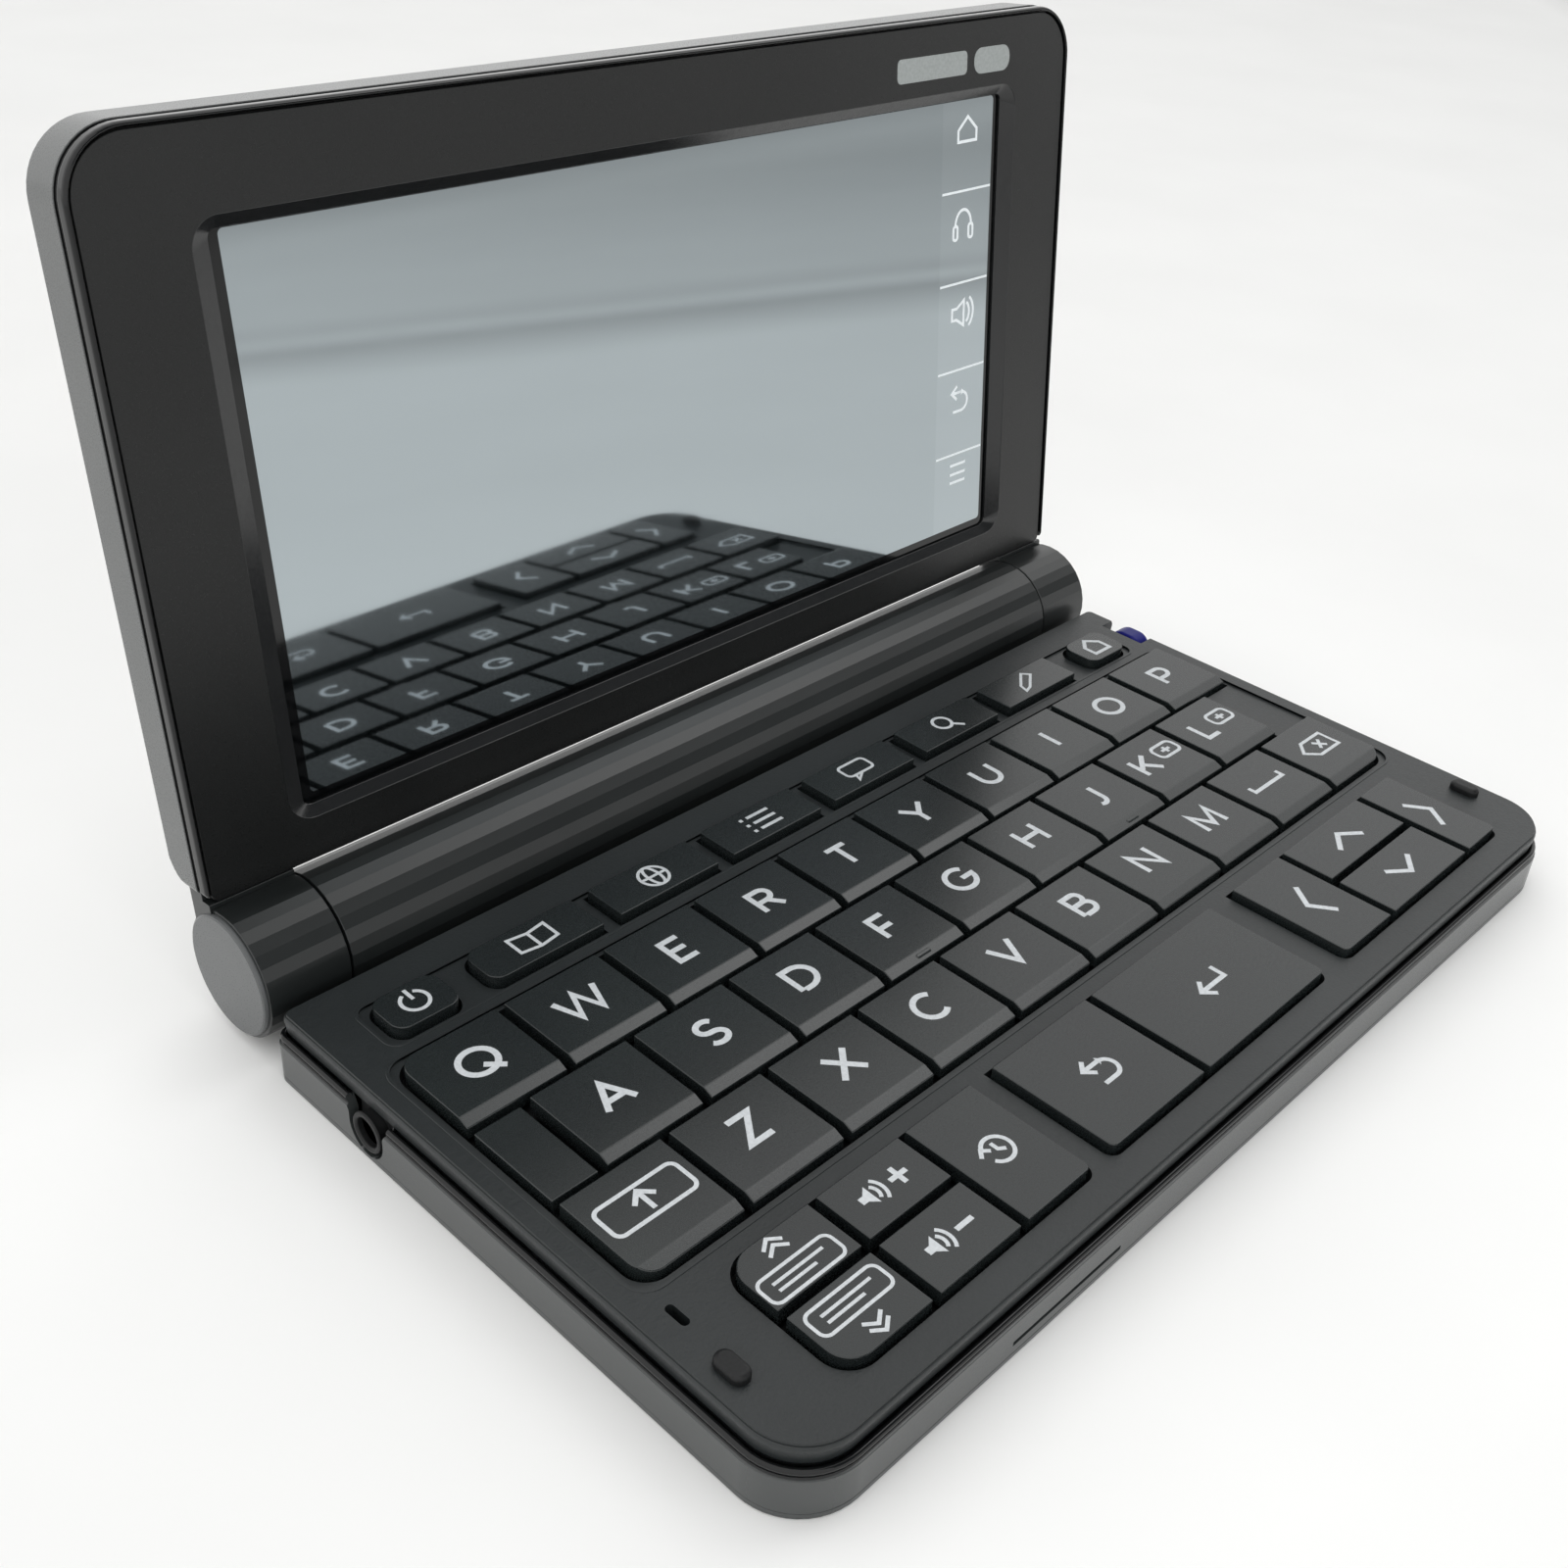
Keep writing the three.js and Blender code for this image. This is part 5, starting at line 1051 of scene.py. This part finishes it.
def touch_screen():
    rings = stepped(GLASS_SIZE, [1.0] * 4, above(SCREEN_FACE, [(0, -1.1), (0, -0.08), (0.08, 0)]), 6)
    module = box(*MODULE_SIZE, SCREEN_FACE - 3.2, SCREEN_FACE - 1.0)
    piece("screen_panel", merged([loft(rings), module]), ["glass"], "lid", ["touch_screen"])
    outside = rectangle(*MARGIN_OUTSIDE, [1.0] * 4, 6)
    inside = rectangle(*MARGIN_INSIDE, [0.6] * 4, 6)
    low, high = SCREEN_FACE - 0.02, SCREEN_FACE + 0.01
    rings = [level(outside, low), level(outside, high), level(inside, high), level(inside, low)]
    piece("screen_margin", loft(rings, wrap=True), ["margin"], "lid")
    icons = bmesh.new()
    lines = [[(48.8, v), (59.2, v)] for v in (65.25, 52.6, 40.0, 27.3)]
    home = [(51.9, 71.8), (51.9, 73.3), (53.85, 75.0), (55.8, 73.3), (55.8, 71.8), (51.9, 71.8)]
    phones = arc(53.5, 60.6, 1.7, 2.1, 0, 180, 16)
    cups = [frame_strokes(51.4, 52.3, 58.7, 60.6, 0.4), frame_strokes(54.7, 55.6, 58.7, 60.6, 0.4)]
    body = [(51.6, 47.4), (52.6, 47.4), (54.2, 46.4), (54.2, 50.0), (52.6, 49.0), (51.6, 49.0), (51.6, 47.4)]
    waves = [arc(54.2, 48.2, 1.2, 1.6, -60, 60, 8), arc(54.2, 48.2, 2.1, 2.5, -55, 55, 8)]
    back = [(52.3, 36.6), (54.2, 36.6), *arc(54.2, 35.2, 1.4, 1.4, 90, -90, 10), (52.4, 33.8)]
    arrow = [(53.2, 37.6), (52.0, 36.6), (53.2, 35.6)]
    menu = [[(52.1, v), (55.6, v)] for v in (25.6, 24.2, 22.9)]
    legend = [(lines, 0.32), ([home, phones, *cups, body, *waves, back, arrow, *menu], 0.4)]
    print_legend(icons, legend, [], 0, 0, SCREEN_FACE, 0)
    piece("screen_icons", icons, ["icon"], "lid")


# Pieces that stay as the CAD has them


def repaint(name, look):
    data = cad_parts[name].data
    data.materials.clear()
    data.materials.append(LOOKS[look])


# Stage


def lamp(name, place, target, size, power):
    data = bpy.data.lights.new(name, "AREA")
    data.shape = "RECTANGLE"
    data.size, data.size_y = size
    data.energy = power
    made = placed(name, data)
    made.location = place
    made.rotation_euler = (Vector(target) - Vector(place)).to_track_quat("-Z", "Y").to_euler()
    return made


def sheet(name, corners, material):
    """A flat piece of the stage."""
    mesh = bmesh.new()
    mesh.faces.new([mesh.verts.new(corner) for corner in corners])
    made = as_object(mesh, name)
    made.data.materials.clear()
    made.data.materials.append(material)
    return made


def for_camera(tree, usual, seen, output):
    """Gives the camera's rays one shader, and all others the usual one."""
    path = tree.nodes.new("ShaderNodeLightPath")
    mix = tree.nodes.new("ShaderNodeMixShader")
    tree.links.new(path.outputs["Is Camera Ray"], mix.inputs["Fac"])
    tree.links.new(usual.outputs[0], mix.inputs[1])
    tree.links.new(seen.outputs[0], mix.inputs[2])
    tree.links.new(mix.outputs["Shader"], tree.nodes[output].inputs["Surface"])


# The stage, in metres. The floor's table tones go by how far a place lies beyond the paper's slanting edge:
# two dark bands just past the edge are painted shadows of it, and the table darkens further out as painted
# shade. Its pool tones go by how far a place is from the middle, a painted pool of light round the object.
PAPER_EDGE = 0.339
EDGE_ACROSS = (0.63, -0.776, 0)
# Two dips past the edge, to 200 and 214, are painted shadows of it, and the fall to 196 far out is painted
# shade.
TABLE_TONES_WITH_PAINTED_SHADOW = [
    (-0.03, 248), (0.0, 228), (0.03, 200), (0.05, 236), (0.07, 214), (0.1, 228), (0.2, 224), (0.5, 196),
]
# A painted pool of light: the floor's tone falls from 1.0 near the middle to 0.8 far out.
PAINTED_LIGHT_POOL_TONES = [(0.09, 1.0), (0.16, 0.9), (0.45, 0.86), (0.9, 0.8)]
FLOOR = (-2.5, 3.0, -3.0, 3.2)
CARD = (-0.1, 1.8, 0.25, 2.4)
CARD_Y = -0.65
ROOM_LIGHT = 1.18


def floor_tones_with_painted_light(made):
    """White paper up to an edge far outside the camera's view, which only the screen mirrors, and a greyer
    table beyond it. Two dark bands just past the edge are painted shadows of it, the table darkens further
    out as painted shade, and the floor is palest near the middle, a painted pool of light."""

    def times(first, second):
        mixed = made.node("ShaderNodeMix", data_type="RGBA", blend_type="MULTIPLY")
        mixed.inputs["Factor"].default_value = 1.0
        made.link(first, mixed.inputs["A"])
        made.link(second, mixed.inputs["B"])
        return mixed.outputs["Result"]

    across = made.node("ShaderNodeVectorMath", operation="DOT_PRODUCT")
    across.inputs[1].default_value = EDGE_ACROSS
    made.link(made.place, across.inputs[0])
    beyond = made.spread(across.outputs["Value"], 0, 1, PAPER_EDGE - 0.1, PAPER_EDGE + 0.9)
    # The paper's ramp, with painted shadows past its edge and painted shade far out.
    paper = made.ramp(beyond, [(place + 0.1, linear(tone, tone, tone - 1)) for place, tone in TABLE_TONES_WITH_PAINTED_SHADOW])
    # A painted pool of light, palest near the middle.
    reach = made.node("ShaderNodeVectorMath", operation="LENGTH")
    made.link(made.place, reach.inputs[0])
    pool = made.ramp(reach.outputs["Value"], [(place, (tone, tone, tone, 1)) for place, tone in PAINTED_LIGHT_POOL_TONES])
    grain = made.ramp(made.noise(60, detail=3), [(0.3, (0.97, 0.97, 0.97, 1)), (0.7, (1, 1, 1, 1))])
    made.link(times(times(paper, pool), grain), made.base.inputs["Base Color"])


def studio():
    made = Shader("floor_paper_painted_light", roughness=0.6, specular=0.3)
    floor_tones_with_painted_light(made)
    made.bump([(made.noise(1.2), 0.01)])
    x0, x1, y0, y1 = FLOOR
    floor = sheet("floor", [(x0, y0, 0), (x1, y0, 0), (x1, y1, 0), (x0, y1, 0)], made.material)

    made = Shader("card_cloth", roughness=0.9, specular=0.2)
    made.colour(linear(92, 94, 96), linear(100, 102, 104), made.noise(40, detail=3))
    made.bump([(made.noise(2.5), 0.05)])
    for_camera(made.tree, made.base, made.node("ShaderNodeBsdfTransparent"), "Material Output")
    x0, x1, low, high = CARD
    corners = [(x0, CARD_Y, low), (x1, CARD_Y, low), (x1, CARD_Y, high), (x0, CARD_Y, high)]
    card = sheet("card", corners, made.material)

    world = bpy.data.worlds.new("studio")
    world.use_nodes = True
    room = world.node_tree.nodes["Background"]
    white = world.node_tree.nodes.new("ShaderNodeBackground")
    Shader.fill(room, {"Color": (1, 1, 0.995, 1), "Strength": ROOM_LIGHT})
    Shader.fill(white, {"Color": (1, 1, 1, 1), "Strength": 1.0})
    for_camera(world.node_tree, room, white, "World Output")
    bpy.context.scene.world = world
    lamp("ceiling", (0.6, -0.1, 0.9), (0, 0, 0.03), (0.5, 0.4), 0.9)
    lamp("front", (0.1, -0.45, 0.5), (0.02, -0.06, 0), (0.5, 0.4), 0.5).visible_glossy = False
    bpy.context.scene.view_settings.view_transform = "Standard"


CAMERA_PLACE = (-143.898, -100.884, 135.937)
CAMERA_TURN = (57.45879, -3.96142, -46.55994)
FOCAL_PIXELS = 1794.6175
PICTURE = 1600
CENTRE_PIXEL = (840.9997, 781.3067)
SENSOR = 36


def camera():
    data = bpy.data.cameras.new("camera")
    data.sensor_width = SENSOR
    data.lens = FOCAL_PIXELS / PICTURE * SENSOR
    data.shift_x = (PICTURE / 2 - CENTRE_PIXEL[0]) / PICTURE
    data.shift_y = (CENTRE_PIXEL[1] - PICTURE / 2) / PICTURE
    data.clip_start = 0.01
    made = placed("camera", data)
    made.location = BASE @ (Vector(CAMERA_PLACE) * MM)
    made.rotation_euler = [math.radians(turn) for turn in CAMERA_TURN]
    bpy.context.scene.camera = made


camera()
studio()
lower_case()
keyboard_deck()
keyboard()
headphone_jack()
stylus()
barrel()
lid_back_cover()
lid_bezel()
touch_screen()
for node, look in (("circuit_board", "board"), ("battery_cells", "cell"), ("friction_hinge", "steel")):
    repaint(node, look)
